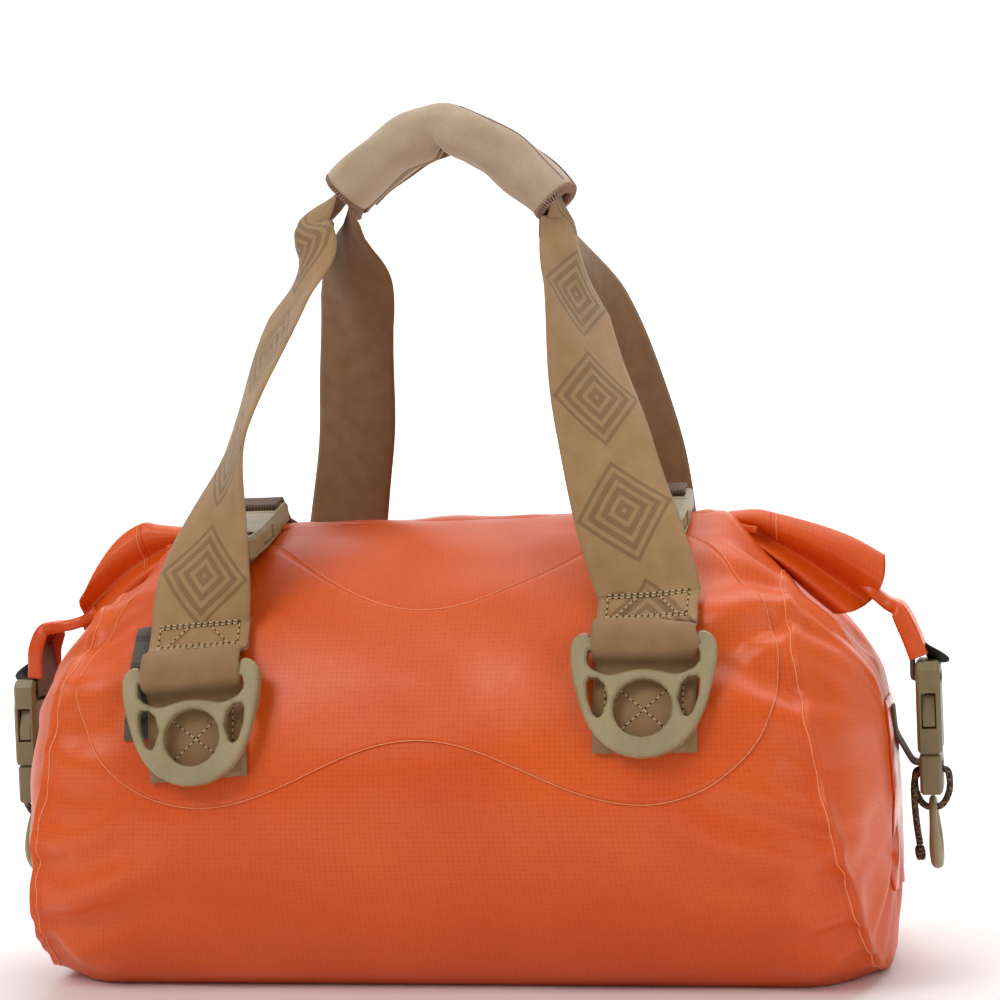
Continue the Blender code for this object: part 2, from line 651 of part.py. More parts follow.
def make_end_fittings():
    cloth = material("orange_tab_cloth", ORANGE, 0.45)
    tape = material("brown_tape", BROWN, 0.8)
    plastic = material("end_ring_plastic", OLIVE, 0.4)
    cord = material("braided_cord", (0.13, 0.085, 0.05), 0.75)
    dark = material("black_tape", DARK, 0.6)
    for side, name in ((-1, "left"), (1, "right")):
        x = END_BUCKLE_X
        across = (0, side, 0)
        # tape from the female's bar up to where it is sewn behind the tab
        slot_z = END_MOUTH_Z + 0.0373
        bar_top = END_MOUTH_Z + FEMALE_LENGTH
        route = [(x + 0.002, slot_z), (x - 0.0078, slot_z)]
        route += [(x - 0.0078, bar_top + 0.002), (x - 0.0058, 0.172)]
        line = rounded([(side * px, 0, pz) for px, pz in route], 0.0018)
        data = ribbon(f"tab_tape_{name}", line, [across] * len(line), TAPE_HALF_WIDTH, TAPE_THICKNESS)
        place(f"tab_tape_{name}", data, tape)
        # orange tab from the ear's end down over the tape
        route = [(0.2165, 0.1935), (0.2310, 0.1855), (x - 0.0035, 0.172), (x - 0.0015, 0.160)]
        line = rounded([(side * px, 0, pz) for px, pz in route], 0.004)
        name_tab = f"closure_tab_{name}"
        place(name_tab, ribbon(name_tab, line, [across] * len(line), 0.0145, 0.0016), cloth)
        # stiff black strip whose tip stands out past the tab's lower edge
        route = [(x + 0.0002, 0.166), (x + 0.0020, 0.1592), (x + 0.0105, 0.1545)]
        line = rounded([(side * px, 0, pz) for px, pz in route], 0.002)
        name_tip = f"tab_stiffener_{name}"
        place(name_tip, ribbon(name_tip, line, [across] * len(line), 0.0095, 0.0010), dark)
        # tape from the end patch out to the male's eye
        eye_z = END_MOUTH_Z - 0.0062
        route = [(0.2232, 0.132), (0.2243, 0.118), (x - 0.0090, eye_z), (x + 0.0020, eye_z)]
        line = rounded([(side * px, 0.0, pz) for px, pz in route], 0.003)
        data = ribbon(f"end_anchor_{name}", line, [across] * len(line), END_ANCHOR_HALF_WIDTH, ANCHOR_THICKNESS)
        place(f"end_anchor_{name}", data, tape)

        ring = [
            (0, END_RING_HALF_WIDTH * math.sin(a), END_RING_HALF_HEIGHT * (math.cos(a) - 1))
            for a in np.linspace(0, 2 * math.pi, 28, endpoint=False)
        ]
        where = Matrix.Translation((side * x, 0, END_RING_BAR_Z))
        place(f"end_ring_{name}", tube("end_ring", ring, END_RING_RADIUS, closed=True), plastic, where)


def make_top_tapes(frames):
    """The strap that holds each top buckle's male from the back, and the tape that is sewn to the
    front and turned round the female's bar."""
    tape = material("brown_tape", BROWN, 0.8)
    for side, name in ((-1, "left"), (1, "right")):
        x = side * TOP_BUCKLE_X
        frame = frames[f"{name}_top"]
        # up through the male's eye, over its bar and the folded neck, and down to the back
        over = MALE_HALF_THICKNESS + GAP + TAPE_THICKNESS / 2
        route = [frame @ Vector(p) for p in ((0, 0, -0.0087), (0, over, -0.0087), (0, over, -0.0232))]
        rest = NECK_TOP + GAP + TAPE_THICKNESS
        route += [body_point(x, angle, rest) for angle in (-0.14, -0.22, -0.30, -0.38, -0.43)]
        sewn = WEBBING_UNDER + TAPE_THICKNESS / 2
        route += [body_point(x, angle, sewn) for angle in (-0.58, -0.63, -0.69)]
        line = rounded(route, 0.0015)
        data = ribbon(f"top_strap_{name}", line, [(side, 0, 0)] * len(line), TAPE_HALF_WIDTH, TAPE_THICKNESS)
        place(f"top_strap_{name}", data, tape)
        # down through the female's slot, round its end bar and back under it to the front
        over = BUCKLE_HALF_THICKNESS + GAP + ANCHOR_THICKNESS / 2
        turned = ((0, 0, 0.0373), (0, over, 0.0373), (0, over, 0.0478), (0, -over, 0.0478))
        route = [frame @ Vector(p) for p in turned]
        route += [body_point(x, angle, 0.0026) for angle in (0.42, 0.35, 0.28, 0.21)]
        line = rounded(route, 0.0015)
        data = ribbon(f"top_anchor_{name}", line, [(side, 0, 0)] * len(line), ANCHOR_HALF_WIDTH, ANCHOR_THICKNESS)
        place(f"top_anchor_{name}", data, tape)


def make_cords():
    braid = material("braided_cord", (0.13, 0.085, 0.05), 0.75)
    half = [(0.0060, 0.0992), (0.0084, 0.0968), (0.0084, 0.0885), (0.0050, 0.0815)]
    loop = [(0, 0.0992), *half, (0, 0.0797), *[(-x, z) for x, z in reversed(half)]]
    for side, name in ((-1, "left"), (1, "right")):
        points = [(side * END_BUCKLE_X + x, 0, z) for x, z in loop]
        place(f"ring_loop_{name}", tube(f"ring_loop_{name}", points, CORD_RADIUS, closed=True), braid)
    route = [(x, LASH_Y, z) for x, z in LASH_ROUTE]
    line = smooth_through(route, 22)
    place("lash_cord_right", tube("lash_cord_right", line, CORD_RADIUS), braid)
    foot = line[-1]
    spread = np.array([0.30, 0.85, 1.0, 0.92, 0.45]) * KNOT_RADIUS
    drop = np.array([0.0004, 0.0018, 0.0042, 0.0070, 0.0092])
    turns = np.linspace(0, 2 * math.pi, 10, endpoint=False)
    rings = [
        [foot + np.array([r * math.cos(a), r * math.sin(a), -d]) for a in turns]
        for r, d in zip(spread, drop)
    ]
    place("lash_knot_right", loft("lash_knot_right", rings), braid)


def make_label():
    weave = material("woven_label", (0.06, 0.05, 0.045), 0.8)
    x = np.linspace(*LABEL_X, 4)[:, None]
    z = np.linspace(*LABEL_Z, 9)[None, :]
    grids = [body_at(x, z, -1, height) for height in (LABEL_UNDER, LABEL_TOP)]
    place("woven_label", slab("woven_label", *grids), weave)


def build():
    clear_scene()
    make_body()
    make_neck()
    make_rings()
    make_handle()
    frames = make_buckles()
    make_top_tapes(frames)
    make_end_fittings()
    make_cords()
    make_label()


build()
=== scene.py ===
"""The looks of a waterproof roll-top duffel: orange coated cloth, tan webbing straps with a padded wrap,
moulded carrying rings and side-release buckles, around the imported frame. Metres, +Z up, -Y is the front."""

import json
import math

import bpy
import numpy as np
from mathutils import Matrix, Vector

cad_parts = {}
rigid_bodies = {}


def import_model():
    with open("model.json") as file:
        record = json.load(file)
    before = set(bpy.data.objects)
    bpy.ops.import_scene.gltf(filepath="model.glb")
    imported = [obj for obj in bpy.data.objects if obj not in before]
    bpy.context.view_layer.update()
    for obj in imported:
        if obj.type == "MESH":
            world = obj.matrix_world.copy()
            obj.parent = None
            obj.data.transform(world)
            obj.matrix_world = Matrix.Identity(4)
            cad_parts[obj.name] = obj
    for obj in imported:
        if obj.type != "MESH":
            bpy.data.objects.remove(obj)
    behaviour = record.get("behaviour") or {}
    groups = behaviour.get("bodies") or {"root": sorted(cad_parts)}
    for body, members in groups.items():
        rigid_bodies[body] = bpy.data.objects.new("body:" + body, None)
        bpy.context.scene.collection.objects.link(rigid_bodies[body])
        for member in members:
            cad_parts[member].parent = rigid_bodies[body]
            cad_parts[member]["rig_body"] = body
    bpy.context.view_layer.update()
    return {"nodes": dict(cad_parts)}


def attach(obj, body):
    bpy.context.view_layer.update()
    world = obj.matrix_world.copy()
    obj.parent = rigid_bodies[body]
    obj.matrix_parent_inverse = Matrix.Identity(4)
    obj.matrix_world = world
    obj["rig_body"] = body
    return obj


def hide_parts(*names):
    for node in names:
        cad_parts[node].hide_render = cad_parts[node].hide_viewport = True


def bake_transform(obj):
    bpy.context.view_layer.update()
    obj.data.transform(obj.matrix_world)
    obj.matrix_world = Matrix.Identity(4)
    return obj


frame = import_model()
nodes = frame["nodes"]

# The room: a pale floor that sweeps up behind the bag, soft panels of light above and to the left, and
# a camera that looks at the bag's front from a little to its right, rolled slightly.
CAMERA_TARGET = np.array([0.0230, 0.0, 0.2433])
CAMERA_DISTANCE, CAMERA_LENS = 1.30, 89.2
CAMERA_AZIMUTH, CAMERA_ELEVATION, CAMERA_ROLL = (math.radians(a) for a in (12.0, 1.5, 2.3))
SWEEP_Y, SWEEP_RADIUS, ROOM_HALF, ROOM_TOP = 1.6, 1.2, 6.0, 5.0


def mesh_of(name, points, faces, smooth=True):
    """An object at the origin from an array of points and lists of faces."""
    data = bpy.data.meshes.new(name)
    data.from_pydata(np.asarray(points, float).reshape(-1, 3).tolist(), [], [list(f) for f in faces])
    data.validate()
    if smooth:
        data.shade_smooth()
    thing = bpy.data.objects.new(name, data)
    bpy.context.scene.collection.objects.link(thing)
    return thing


def quads_of(rows, columns, ring_rows=False, ring_columns=False, start=0):
    """The four corners of each cell of a grid numbered row by row; a ring's last line joins its first."""
    i = np.arange(rows if ring_rows else rows - 1)[:, None]
    j = np.arange(columns if ring_columns else columns - 1)[None, :]
    k, m = (i + 1) % rows, (j + 1) % columns
    cells = np.stack(np.broadcast_arrays(i * columns + j, k * columns + j, k * columns + m, i * columns + m), -1)
    return (cells.reshape(-1, 4) + start).tolist()


def fitting(name, colour, roughness, **sockets):
    """A material with its own Principled shader; returns the material, its nodes and its links."""
    made = bpy.data.materials.new(name)
    made.use_nodes = True
    shader = made.node_tree.nodes["Principled BSDF"]
    shader.inputs["Base Color"].default_value = (*colour, 1)
    shader.inputs["Roughness"].default_value = roughness
    for socket, value in sockets.items():
        shader.inputs[socket.replace("_", " ")].default_value = value
    return made, shader, made.node_tree


def make_room():
    """The floor's profile runs back, turns up along a quarter circle and goes straight up."""
    turn = np.linspace(0, math.pi / 2, 24)
    y = np.r_[-ROOM_HALF, SWEEP_Y + SWEEP_RADIUS * np.sin(turn), SWEEP_Y + SWEEP_RADIUS]
    z = np.r_[0.0, SWEEP_RADIUS * (1 - np.cos(turn)), ROOM_TOP]
    x = np.array([-ROOM_HALF, ROOM_HALF])
    points = np.stack(np.broadcast_arrays(x[None, :], y[:, None], z[:, None]), -1)
    floor = mesh_of("floor", points, quads_of(len(y), 2))
    paper, _, _ = fitting("white_paper", (0.92, 0.92, 0.92), 0.9)
    floor.data.materials.append(paper)


def make_light(name, place, aim, size, power):
    lamp = bpy.data.lights.new(name, "AREA")
    lamp.shape = "RECTANGLE"
    lamp.size, lamp.size_y = size
    lamp.energy = power
    thing = bpy.data.objects.new(name, lamp)
    bpy.context.scene.collection.objects.link(thing)
    thing.location = place
    thing.rotation_euler = (Vector(aim) - Vector(place)).to_track_quat("-Z", "Y").to_euler()


def make_camera():
    """Back points from the target to the camera; the picture's right is turned down by the roll."""
    a, e, r = CAMERA_AZIMUTH, CAMERA_ELEVATION, CAMERA_ROLL
    back = np.array([math.sin(a) * math.cos(e), -math.cos(a) * math.cos(e), math.sin(e)])
    level = np.array([math.cos(a), math.sin(a), 0.0])
    upright = np.cross(back, level)
    right = level * math.cos(r) - upright * math.sin(r)
    up = upright * math.cos(r) + level * math.sin(r)
    lens = bpy.data.cameras.new("camera")
    lens.lens, lens.sensor_width = CAMERA_LENS, 36.0
    lens.clip_start, lens.clip_end = 0.01, 50.0
    camera = bpy.data.objects.new("camera", lens)
    bpy.context.scene.collection.objects.link(camera)
    place = CAMERA_TARGET + back * CAMERA_DISTANCE
    camera.matrix_world = Matrix([[*row, p] for row, p in zip(np.stack([right, up, back], 1), place)] + [[0, 0, 0, 1]])
    bpy.context.scene.camera = camera


make_room()
make_light("key_panel", (-1.6, -2.2, 2.6), (0, 0, 0.2), (1.6, 1.6), 50)
make_light("fill_panel", (2.4, -1.8, 1.4), (0, 0, 0.2), (1.8, 1.8), 18)
make_light("top_panel", (0.2, 0.6, 3.0), (0, 0, 0.1), (3.0, 2.0), 46)
make_light("back_panel", (0.0, 1.0, 2.2), (0, 2.9, 0.8), (4.0, 1.5), 60)
sky = bpy.data.worlds.new("studio")
sky.use_nodes = True
sky.node_tree.nodes["Background"].inputs["Color"].default_value = (1, 1, 1, 1)
sky.node_tree.nodes["Background"].inputs["Strength"].default_value = 0.30
bpy.context.scene.world = sky
bpy.context.scene.view_settings.view_transform = "Standard"
make_camera()

# The body: one sheet of coated ripstop cloth rolled into a tube, its mouth along the top, with a round
# end panel welded into each end. It is stuffed, so it bulges between its seams, gathers into puckers
# where the round panels are tighter than the tube, and stands flat on the floor.
SECTION_MIDDLE, SECTION_HEIGHT, SECTION_DEPTH, SECTION_SAG = 0.106, 0.120, 0.230, 0.06
SEAM_AT_FLOOR, SEAM_LEAN = 0.218, 0.20
END_GATHER, FLOOR_GATHER, GATHER_FROM = 0.035, 0.085, 0.78
DOME_RISE, DOME_FULLER, DOME_FROM = 0.0245, 0.16, 0.09
CREST_RISE, CREST_FROM, CREST_TO = 0.0082, 0.62, 0.06
BODY_ROWS, BODY_COLUMNS, PANEL_RINGS = 121, 200, 26


def seam_at(z):
    """Half the body's length falls evenly with height: the ends lean in towards the top."""
    return SEAM_AT_FLOOR - SEAM_LEAN * z


def ease(value, low, high):
    """Smoothstep: nothing before low, one after high, and level at both."""
    s = np.clip((np.asarray(value, float) - low) / (high - low), 0, 1)
    return s * s * (3 - 2 * s)


def body_section(angle, x_share):
    """(y, z) of the body's outline: an ellipse, fuller below, whose top front rises into the neck."""
    angle = np.asarray(angle, float)
    y = -SECTION_DEPTH / 2 * np.sin(angle) * (1 - SECTION_SAG * np.cos(angle))
    z = SECTION_MIDDLE + SECTION_HEIGHT * np.cos(angle)
    turn = (angle + math.pi) % (2 * math.pi) - math.pi
    rise = (1 - ease(turn, CREST_TO, CREST_FROM)) * ease(turn, -0.16, 0.02)
    under_buckle = np.exp(-(((abs(x_share) - 0.60) / 0.085) ** 4))
    return y, z + CREST_RISE * rise * (1 - 0.8 * under_buckle) * (1 - ease(abs(x_share), 0.82, 0.98))


def rough_body(share, angle):
    """A point of the tube for a share of its half length and an angle round it from the top. It is the
    outline, drawn in near the end seams, most of all at the floor."""
    y, z = body_section(angle, share)
    below = ease(-np.cos(angle), -0.1, 0.9)
    gather = 1 - (END_GATHER + FLOOR_GATHER * below) * ease(abs(share), GATHER_FROM, 1) ** 2
    z = SECTION_MIDDLE + (z - SECTION_MIDDLE) * gather
    y = y * (1 - END_GATHER * ease(abs(share), GATHER_FROM, 1) ** 2)
    z = np.maximum(z, 0.0006)
    return np.stack(np.broadcast_arrays(share * seam_at(z), y, z), -1)


def puckers(share, angle):
    """Heights of the folds that run in from the end seams: each is a groove between two ridges across
    its own slanting line, and it dies away from the seam."""
    away = (1 - abs(share)) * 0.19
    height = np.zeros(np.broadcast(share, angle).shape)
    for end in (-1, 1):
        rng = np.random.default_rng(31 + end)
        count = 22
        middle = (np.arange(count) + rng.uniform(-0.35, 0.35, count)) * 2 * math.pi / count
        for at, slant, width, reach, deep in zip(
            middle,
            rng.uniform(-5.0, 5.0, count),
            rng.uniform(0.055, 0.13, count),
            rng.uniform(0.020, 0.070, count),
            rng.uniform(0.0014, 0.0046, count),
        ):
            off = (angle - at - slant * away + math.pi) % (2 * math.pi) - math.pi
            across = off / (width * (1 + away / 0.05))
            fold = (1 - 1.6 * across**2) * np.exp(-(across**2))
            height -= deep * fold * np.exp(-((away / reach) ** 1.6)) * (end * share > 0)
    swell = 0.0011 * np.sin(2.1 * angle + 3.0 * share) * np.sin(4.2 * share + 1.1)
    swell = swell + 0.0007 * np.sin(5 * angle - 6.0 * share + 0.6) * np.cos(7 * share + 0.4)
    return height * 0.9 + swell


def outward(points, ring_columns=True):
    """Unit normals of a grid of points, from the cross product of its two directions."""
    along = np.gradient(points, axis=0)
    if ring_columns:
        around = (np.roll(points, -1, 1) - np.roll(points, 1, 1)) / 2
    else:
        around = np.gradient(points, axis=1)
    n = np.cross(around, along)
    return n / np.maximum(np.linalg.norm(n, axis=-1, keepdims=True), 1e-12)


body_share = np.sin(np.linspace(-1, 1, BODY_ROWS) * 1.25) / math.sin(1.25)
body_angles = np.arange(BODY_COLUMNS) * 2 * math.pi / BODY_COLUMNS
tube_points = rough_body(body_share[:, None], body_angles[None, :])
tube_normals = outward(tube_points)
if np.sum(tube_normals[BODY_ROWS // 2, BODY_COLUMNS // 4] * [0, -1, 0]) < 0:
    tube_normals = -tube_normals
standing = ease(tube_points[..., 2:], 0.0, 0.012)
tube_points = tube_points + tube_normals * (puckers(body_share[:, None], body_angles[None, :])[..., None] * standing)
tube_points[..., 2] = np.maximum(tube_points[..., 2], 0.0006)


def panel_points(rim, end):
    """Rings from just inside the seam to the panel's middle: the rim's points drawn in evenly, raised
    into a dome, with shallow folds that fade from the seam inwards."""
    reach = np.linspace(1, 0, PANEL_RINGS + 1)[1:-1, None]
    y = reach * rim[None, :, 1]
    z = SECTION_MIDDLE + reach * (rim[None, :, 2] - SECTION_MIDDLE)
    folds = 0.0016 * np.sin(11 * body_angles + 1.3 * end)[None, :] * np.sin(5 * body_angles + end)[None, :]
    rise = (DOME_RISE + DOME_FULLER * (z - DOME_FROM)) * (1 - reach**2) ** 0.7 + folds * reach**3 * (1 - reach) * 6
    edge = abs(rim[None, :, 0]) - seam_at(rim[None, :, 2])
    x = end * (seam_at(z) + edge * reach**4 + rise)
    crown = DOME_RISE + DOME_FULLER * (SECTION_MIDDLE - DOME_FROM)
    middle = [end * (seam_at(SECTION_MIDDLE) + crown), 0.0, SECTION_MIDDLE]
    return np.stack([x, y, z], -1), middle


shell_points = [tube_points.reshape(-1, 3)]
shell_faces = quads_of(BODY_ROWS, BODY_COLUMNS, ring_columns=True)
for end, row in ((-1, 0), (1, BODY_ROWS - 1)):
    rings, middle = panel_points(tube_points[row], end)
    start = sum(len(p) for p in shell_points)
    shell_points += [rings.reshape(-1, 3), np.array([middle])]
    count = PANEL_RINGS - 1
    first = np.arange(BODY_COLUMNS)
    following = (first + 1) % BODY_COLUMNS
    rim = row * BODY_COLUMNS
    bridge = np.stack([rim + first, start + first, start + following, rim + following], 1).tolist()
    inner = quads_of(count, BODY_COLUMNS, ring_columns=True, start=start)
    last = start + (count - 1) * BODY_COLUMNS
    fan = np.stack([last + first, np.full(BODY_COLUMNS, last + BODY_COLUMNS), last + following], 1).tolist()
    made = bridge + inner + fan
    shell_faces += [f[::-1] for f in made] if end < 0 else made
shell_points = np.concatenate(shell_points)
shell_faces = [face[::-1] for face in shell_faces]  # so that they all point outwards

# Under each ear the top corner of the body is slack and sinks towards the middle.
CORNER_SINK, SINK_FROM, SINK_TO, SINK_DEPTH = 0.30, 0.138, 0.192, 0.052
sink = CORNER_SINK * ease(abs(shell_points[:, 0]), SINK_FROM, SINK_TO) * ease(shell_points[:, 2], 0.14, 0.19)
sink *= np.exp(-((shell_points[:, 1] / SINK_DEPTH) ** 2))
shell_points[:, 2] -= (shell_points[:, 2] - SECTION_MIDDLE) * sink


def settle(points, faces):
    """The slack cloth by simulation: a slight suction draws the shell in, its seams are drawn tight and
    the cloth between them is given some spare length, so that it buckles by itself near the seams."""
    cloth = mesh_of("settling_cloth", points, faces)
    tight = cloth.vertex_groups.new(name="seams")
    rows = np.array([0, 1, BODY_ROWS - 2, BODY_ROWS - 1])
    ring = (rows[:, None] * BODY_COLUMNS + np.arange(BODY_COLUMNS)[None, :]).ravel()
    tight.add([int(v) for v in ring], 1.0, "REPLACE")
    held = cloth.vertex_groups.new(name="held")
    low = np.flatnonzero(points[:, 2] < 0.0012)
    held.add([int(v) for v in low], 1.0, "REPLACE")
    step = cloth.modifiers.new("settle", "CLOTH")
    s = step.settings
    s.quality = 6
    s.mass = 0.25
    s.tension_stiffness = s.compression_stiffness = 18
    s.shear_stiffness = 8
    s.bending_stiffness = 0.6
    s.tension_damping = s.compression_damping = 12
    s.vertex_group_mass = "held"
    s.vertex_group_shrink = "seams"
    s.shrink_min, s.shrink_max = -0.035, 0.06
    s.use_pressure = True
    s.uniform_pressure_force = -1.2
    s.effector_weights.gravity = 0.0
    step.collision_settings.use_collision = False
    scene = bpy.context.scene
    for moment in range(1, 19):
        scene.frame_set(moment)
    graph = bpy.context.evaluated_depsgraph_get()
    result = np.empty(len(points) * 3)
    cloth.evaluated_get(graph).data.vertices.foreach_get("co", result)
    scene.frame_set(1)
    bpy.data.objects.remove(cloth, do_unlink=True)
    return result.reshape(-1, 3)


WRINKLE_MOST, WRINKLE_SEWN, WRINKLE_GAIN = 0.0045, 0.0005, 0.75


def blurred(move, passes):
    """A grid of moves averaged with its neighbourhood: one step to each neighbour on every pass. Its
    columns run round the bag, so they join up, and its first and last rows stay their own neighbours."""
    for _ in range(passes):
        ahead = np.concatenate([move[1:], move[-1:]])
        behind = np.concatenate([move[:1], move[:-1]])
        move = (2 * move + ahead + behind + np.roll(move, 1, 1) + np.roll(move, -1, 1)) / 6
    return move


def folds_only(move, fine, broad):
    """The folds of a grid of moves: its average over a few steps, which drops the crumple that coated
    cloth is too stiff for, less its average over many, which is the cloth's broad swell."""
    return blurred(move, fine) - blurred(move, broad)


moved = settle(shell_points, shell_faces) - shell_points
tube_count, panel_count = BODY_ROWS * BODY_COLUMNS, (PANEL_RINGS - 1) * BODY_COLUMNS
shape = (BODY_ROWS, BODY_COLUMNS, 3)
push = np.sum(moved[:tube_count].reshape(shape) * tube_normals, axis=-1)
push = np.clip(WRINKLE_GAIN * folds_only(push, 5, 90), -WRINKLE_MOST, WRINKLE_MOST)
here = shell_points[:tube_count].reshape(shape)
sewn = np.exp(-(((abs(here[..., 0]) - 0.105) / 0.050) ** 4)) * ease(here[..., 2], 0.095, 0.125)
calm = np.maximum(np.maximum(sewn, ease(here[..., 2], 0.195, 0.215)), 1 - ease(here[..., 2], 0.002, 0.02))
push *= 1 - calm * (1 - WRINKLE_SEWN / WRINKLE_MOST)
push *= 0.45 + 0.55 * ease(abs(body_share), 0.45, 0.85)[:, None]
shell_points[:tube_count] += (push[..., None] * tube_normals).reshape(-1, 3)
for end, row in ((-1, 0), (1, BODY_ROWS - 1)):
    start = tube_count + (0 if end < 0 else panel_count + 1)
    out = end * moved[start : start + panel_count, 0].reshape(-1, BODY_COLUMNS)
    out = np.clip(WRINKLE_GAIN * folds_only(out, 4, 40), -WRINKLE_MOST, WRINKLE_MOST)
    inwards = np.linspace(0, 1, PANEL_RINGS - 1)[:, None]
    shell_points[start : start + panel_count, 0] += (end * out * (1 - 0.8 * ease(inwards, 0.35, 0.8))).ravel()
shell_points[:, 2] = np.maximum(shell_points[:, 2], 0.0004)
# The cloth's finish: an orange coated ripstop, half glossy, whose grid of thicker threads shows through
# the coating every 2.5 mm as fine dark lines. Its UV map is in metres of flat cloth.
RIPSTOP_PITCH, RIPSTOP_LINE = 0.0025, 0.13


def calc(tree, operation, *values):
    """The output of a Math node; each value is a number or another node's output."""
    step = tree.nodes.new("ShaderNodeMath")
    step.operation = operation
    for socket, value in zip(step.inputs, values):
        if isinstance(value, bpy.types.NodeSocket):
            tree.links.new(value, socket)
        else:
            socket.default_value = value
    return step.outputs[0]


def remap(tree, value, low, high, to_low=0.0, to_high=1.0):
    step = tree.nodes.new("ShaderNodeMapRange")
    step.inputs["From Min"].default_value, step.inputs["From Max"].default_value = low, high
    step.inputs["To Min"].default_value, step.inputs["To Max"].default_value = to_low, to_high
    tree.links.new(value, step.inputs["Value"])
    return step.outputs["Result"]


def noise(tree, place, scale, detail=2.0, stretch=(1, 1, 1)):
    """Noise read at a place, its size in cells per metre, longer along an axis whose stretch is small."""
    turn = tree.nodes.new("ShaderNodeMapping")
    turn.inputs["Scale"].default_value = stretch
    tree.links.new(place, turn.inputs["Vector"])
    field = tree.nodes.new("ShaderNodeTexNoise")
    field.inputs["Scale"].default_value = scale
    field.inputs["Detail"].default_value = detail
    tree.links.new(turn.outputs[0], field.inputs["Vector"])
    return field.outputs["Fac"]


def blended(tree, share, first, second):
    """One colour or the other by share; each is three numbers or a node's output."""
    mix = tree.nodes.new("ShaderNodeMix")
    mix.data_type = "RGBA"
    tree.links.new(share, mix.inputs["Factor"])
    for name, value in (("A", first), ("B", second)):
        socket = next(s for s in mix.inputs if s.name == name and s.type == "RGBA")
        if isinstance(value, bpy.types.NodeSocket):
            tree.links.new(value, socket)
        else:
            socket.default_value = (*value, 1)
    return next(s for s in mix.outputs if s.type == "RGBA")


def new_group(name, given, taken):
    """An empty shader node group with named sockets; returns it with its two ends."""
    group = bpy.data.node_groups.new(name, "ShaderNodeTree")
    for label, kind in given:
        group.interface.new_socket(name=label, in_out="INPUT", socket_type=kind)
    for label in taken:
        group.interface.new_socket(name=label, in_out="OUTPUT", socket_type="NodeSocketFloat")
    return group, group.nodes.new("NodeGroupInput"), group.nodes.new("NodeGroupOutput")


def use_group(tree, group, place, **values):
    step = tree.nodes.new("ShaderNodeGroup")
    step.node_tree = group
    tree.links.new(place, step.inputs["Place"])
    for name, value in values.items():
        step.inputs[name].default_value = value
    return step.outputs


def bumped(tree, shader, height, strength, distance):
    """Feeds a height to the shader's normal."""
    bump = tree.nodes.new("ShaderNodeBump")
    bump.inputs["Strength"].default_value, bump.inputs["Distance"].default_value = strength, distance
    tree.links.new(height, bump.inputs["Height"])
    tree.links.new(bump.outputs[0], shader.inputs["Normal"])


def uv_of(tree):
    return tree.nodes.new("ShaderNodeUVMap").outputs[0]


def place_of(tree):
    return tree.nodes.new("ShaderNodeTexCoord").outputs["Object"]


def srgb(*levels):
    return tuple((level / 255) ** 2.2 for level in levels)


ripstop, given, taken = new_group(
    "ripstop_grid", [("Place", "NodeSocketVector"), ("Pitch", "NodeSocketFloat"), ("Line", "NodeSocketFloat")], ["Grid", "Height"]
)
axes = ripstop.nodes.new("ShaderNodeSeparateXYZ")
ripstop.links.new(given.outputs["Place"], axes.inputs[0])
lines = []
for axis in (0, 1):
    turns = calc(ripstop, "DIVIDE", axes.outputs[axis], given.outputs["Pitch"])
    lines.append(calc(ripstop, "LESS_THAN", calc(ripstop, "PINGPONG", turns, 0.5), given.outputs["Line"]))
uneven = remap(ripstop, noise(ripstop, given.outputs["Place"], 260), 0.35, 0.65, 0.25, 1.0)
grid = calc(ripstop, "MULTIPLY", calc(ripstop, "MAXIMUM", *lines), uneven)
threads = noise(ripstop, given.outputs["Place"], 2600, 1.0)
ripstop.links.new(grid, taken.inputs["Grid"])
ripstop.links.new(calc(ripstop, "ADD", grid, calc(ripstop, "MULTIPLY", threads, 0.35)), taken.inputs["Height"])


def coated(name, colour, line_colour, roughness, deep, haze=0.05):
    """Coated cloth: its colour darkened on the grid's lines and in soft patches, dulled by dust in places."""
    made, shader, tree = fitting(name, colour, roughness, Coat_Weight=0.06, Coat_Roughness=0.3, Specular_IOR_Level=0.4)
    made_of = use_group(tree, ripstop, uv_of(tree), Pitch=RIPSTOP_PITCH, Line=RIPSTOP_LINE)
    patchy = remap(tree, noise(tree, place_of(tree), 14, 3.0), 0.3, 0.7)
    base = blended(tree, patchy, colour, deep)
    lined = blended(tree, calc(tree, "MULTIPLY", made_of["Grid"], 0.34), base, line_colour)
    tree.links.new(lined, shader.inputs["Base Color"])
    scuffed = noise(tree, place_of(tree), 45, 4.0)
    tree.links.new(remap(tree, scuffed, 0.3, 0.75, roughness - haze, roughness + haze), shader.inputs["Roughness"])
    bumped(tree, shader, made_of["Height"], 0.30, 0.00012)
    return made


body_cloth = coated("coated_ripstop", srgb(222, 92, 24), srgb(178, 60, 12), 0.42, srgb(212, 80, 18))
glossy_cloth = coated("glossy_coated_cloth", srgb(216, 80, 20), srgb(176, 56, 12), 0.24, srgb(204, 68, 14))
pale_edge, _, _ = fitting("pale_cut_edge", srgb(255, 170, 120), 0.5)
welded_thread, thread_shader, thread_tree = fitting("welded_thread", srgb(245, 150, 100), 0.45)
thread_tree.links.new(
    blended(thread_tree, noise(thread_tree, place_of(thread_tree), 500), srgb(228, 104, 46), srgb(248, 170, 120)),
    thread_shader.inputs["Base Color"],
)


def paint(thing, made, uv=None):
    """Gives a piece its material, and a UV map from one (u, v) for each vertex."""
    thing.data.materials.append(made)
    if uv is not None:
        uv = np.asarray(uv, float).reshape(-1, 2)
        corners = np.empty(len(thing.data.loops), int)
        thing.data.loops.foreach_get("vertex_index", corners)
        thing.data.uv_layers.new(name="flat_cloth").data.foreach_set("uv", uv[corners].ravel())
    return thing


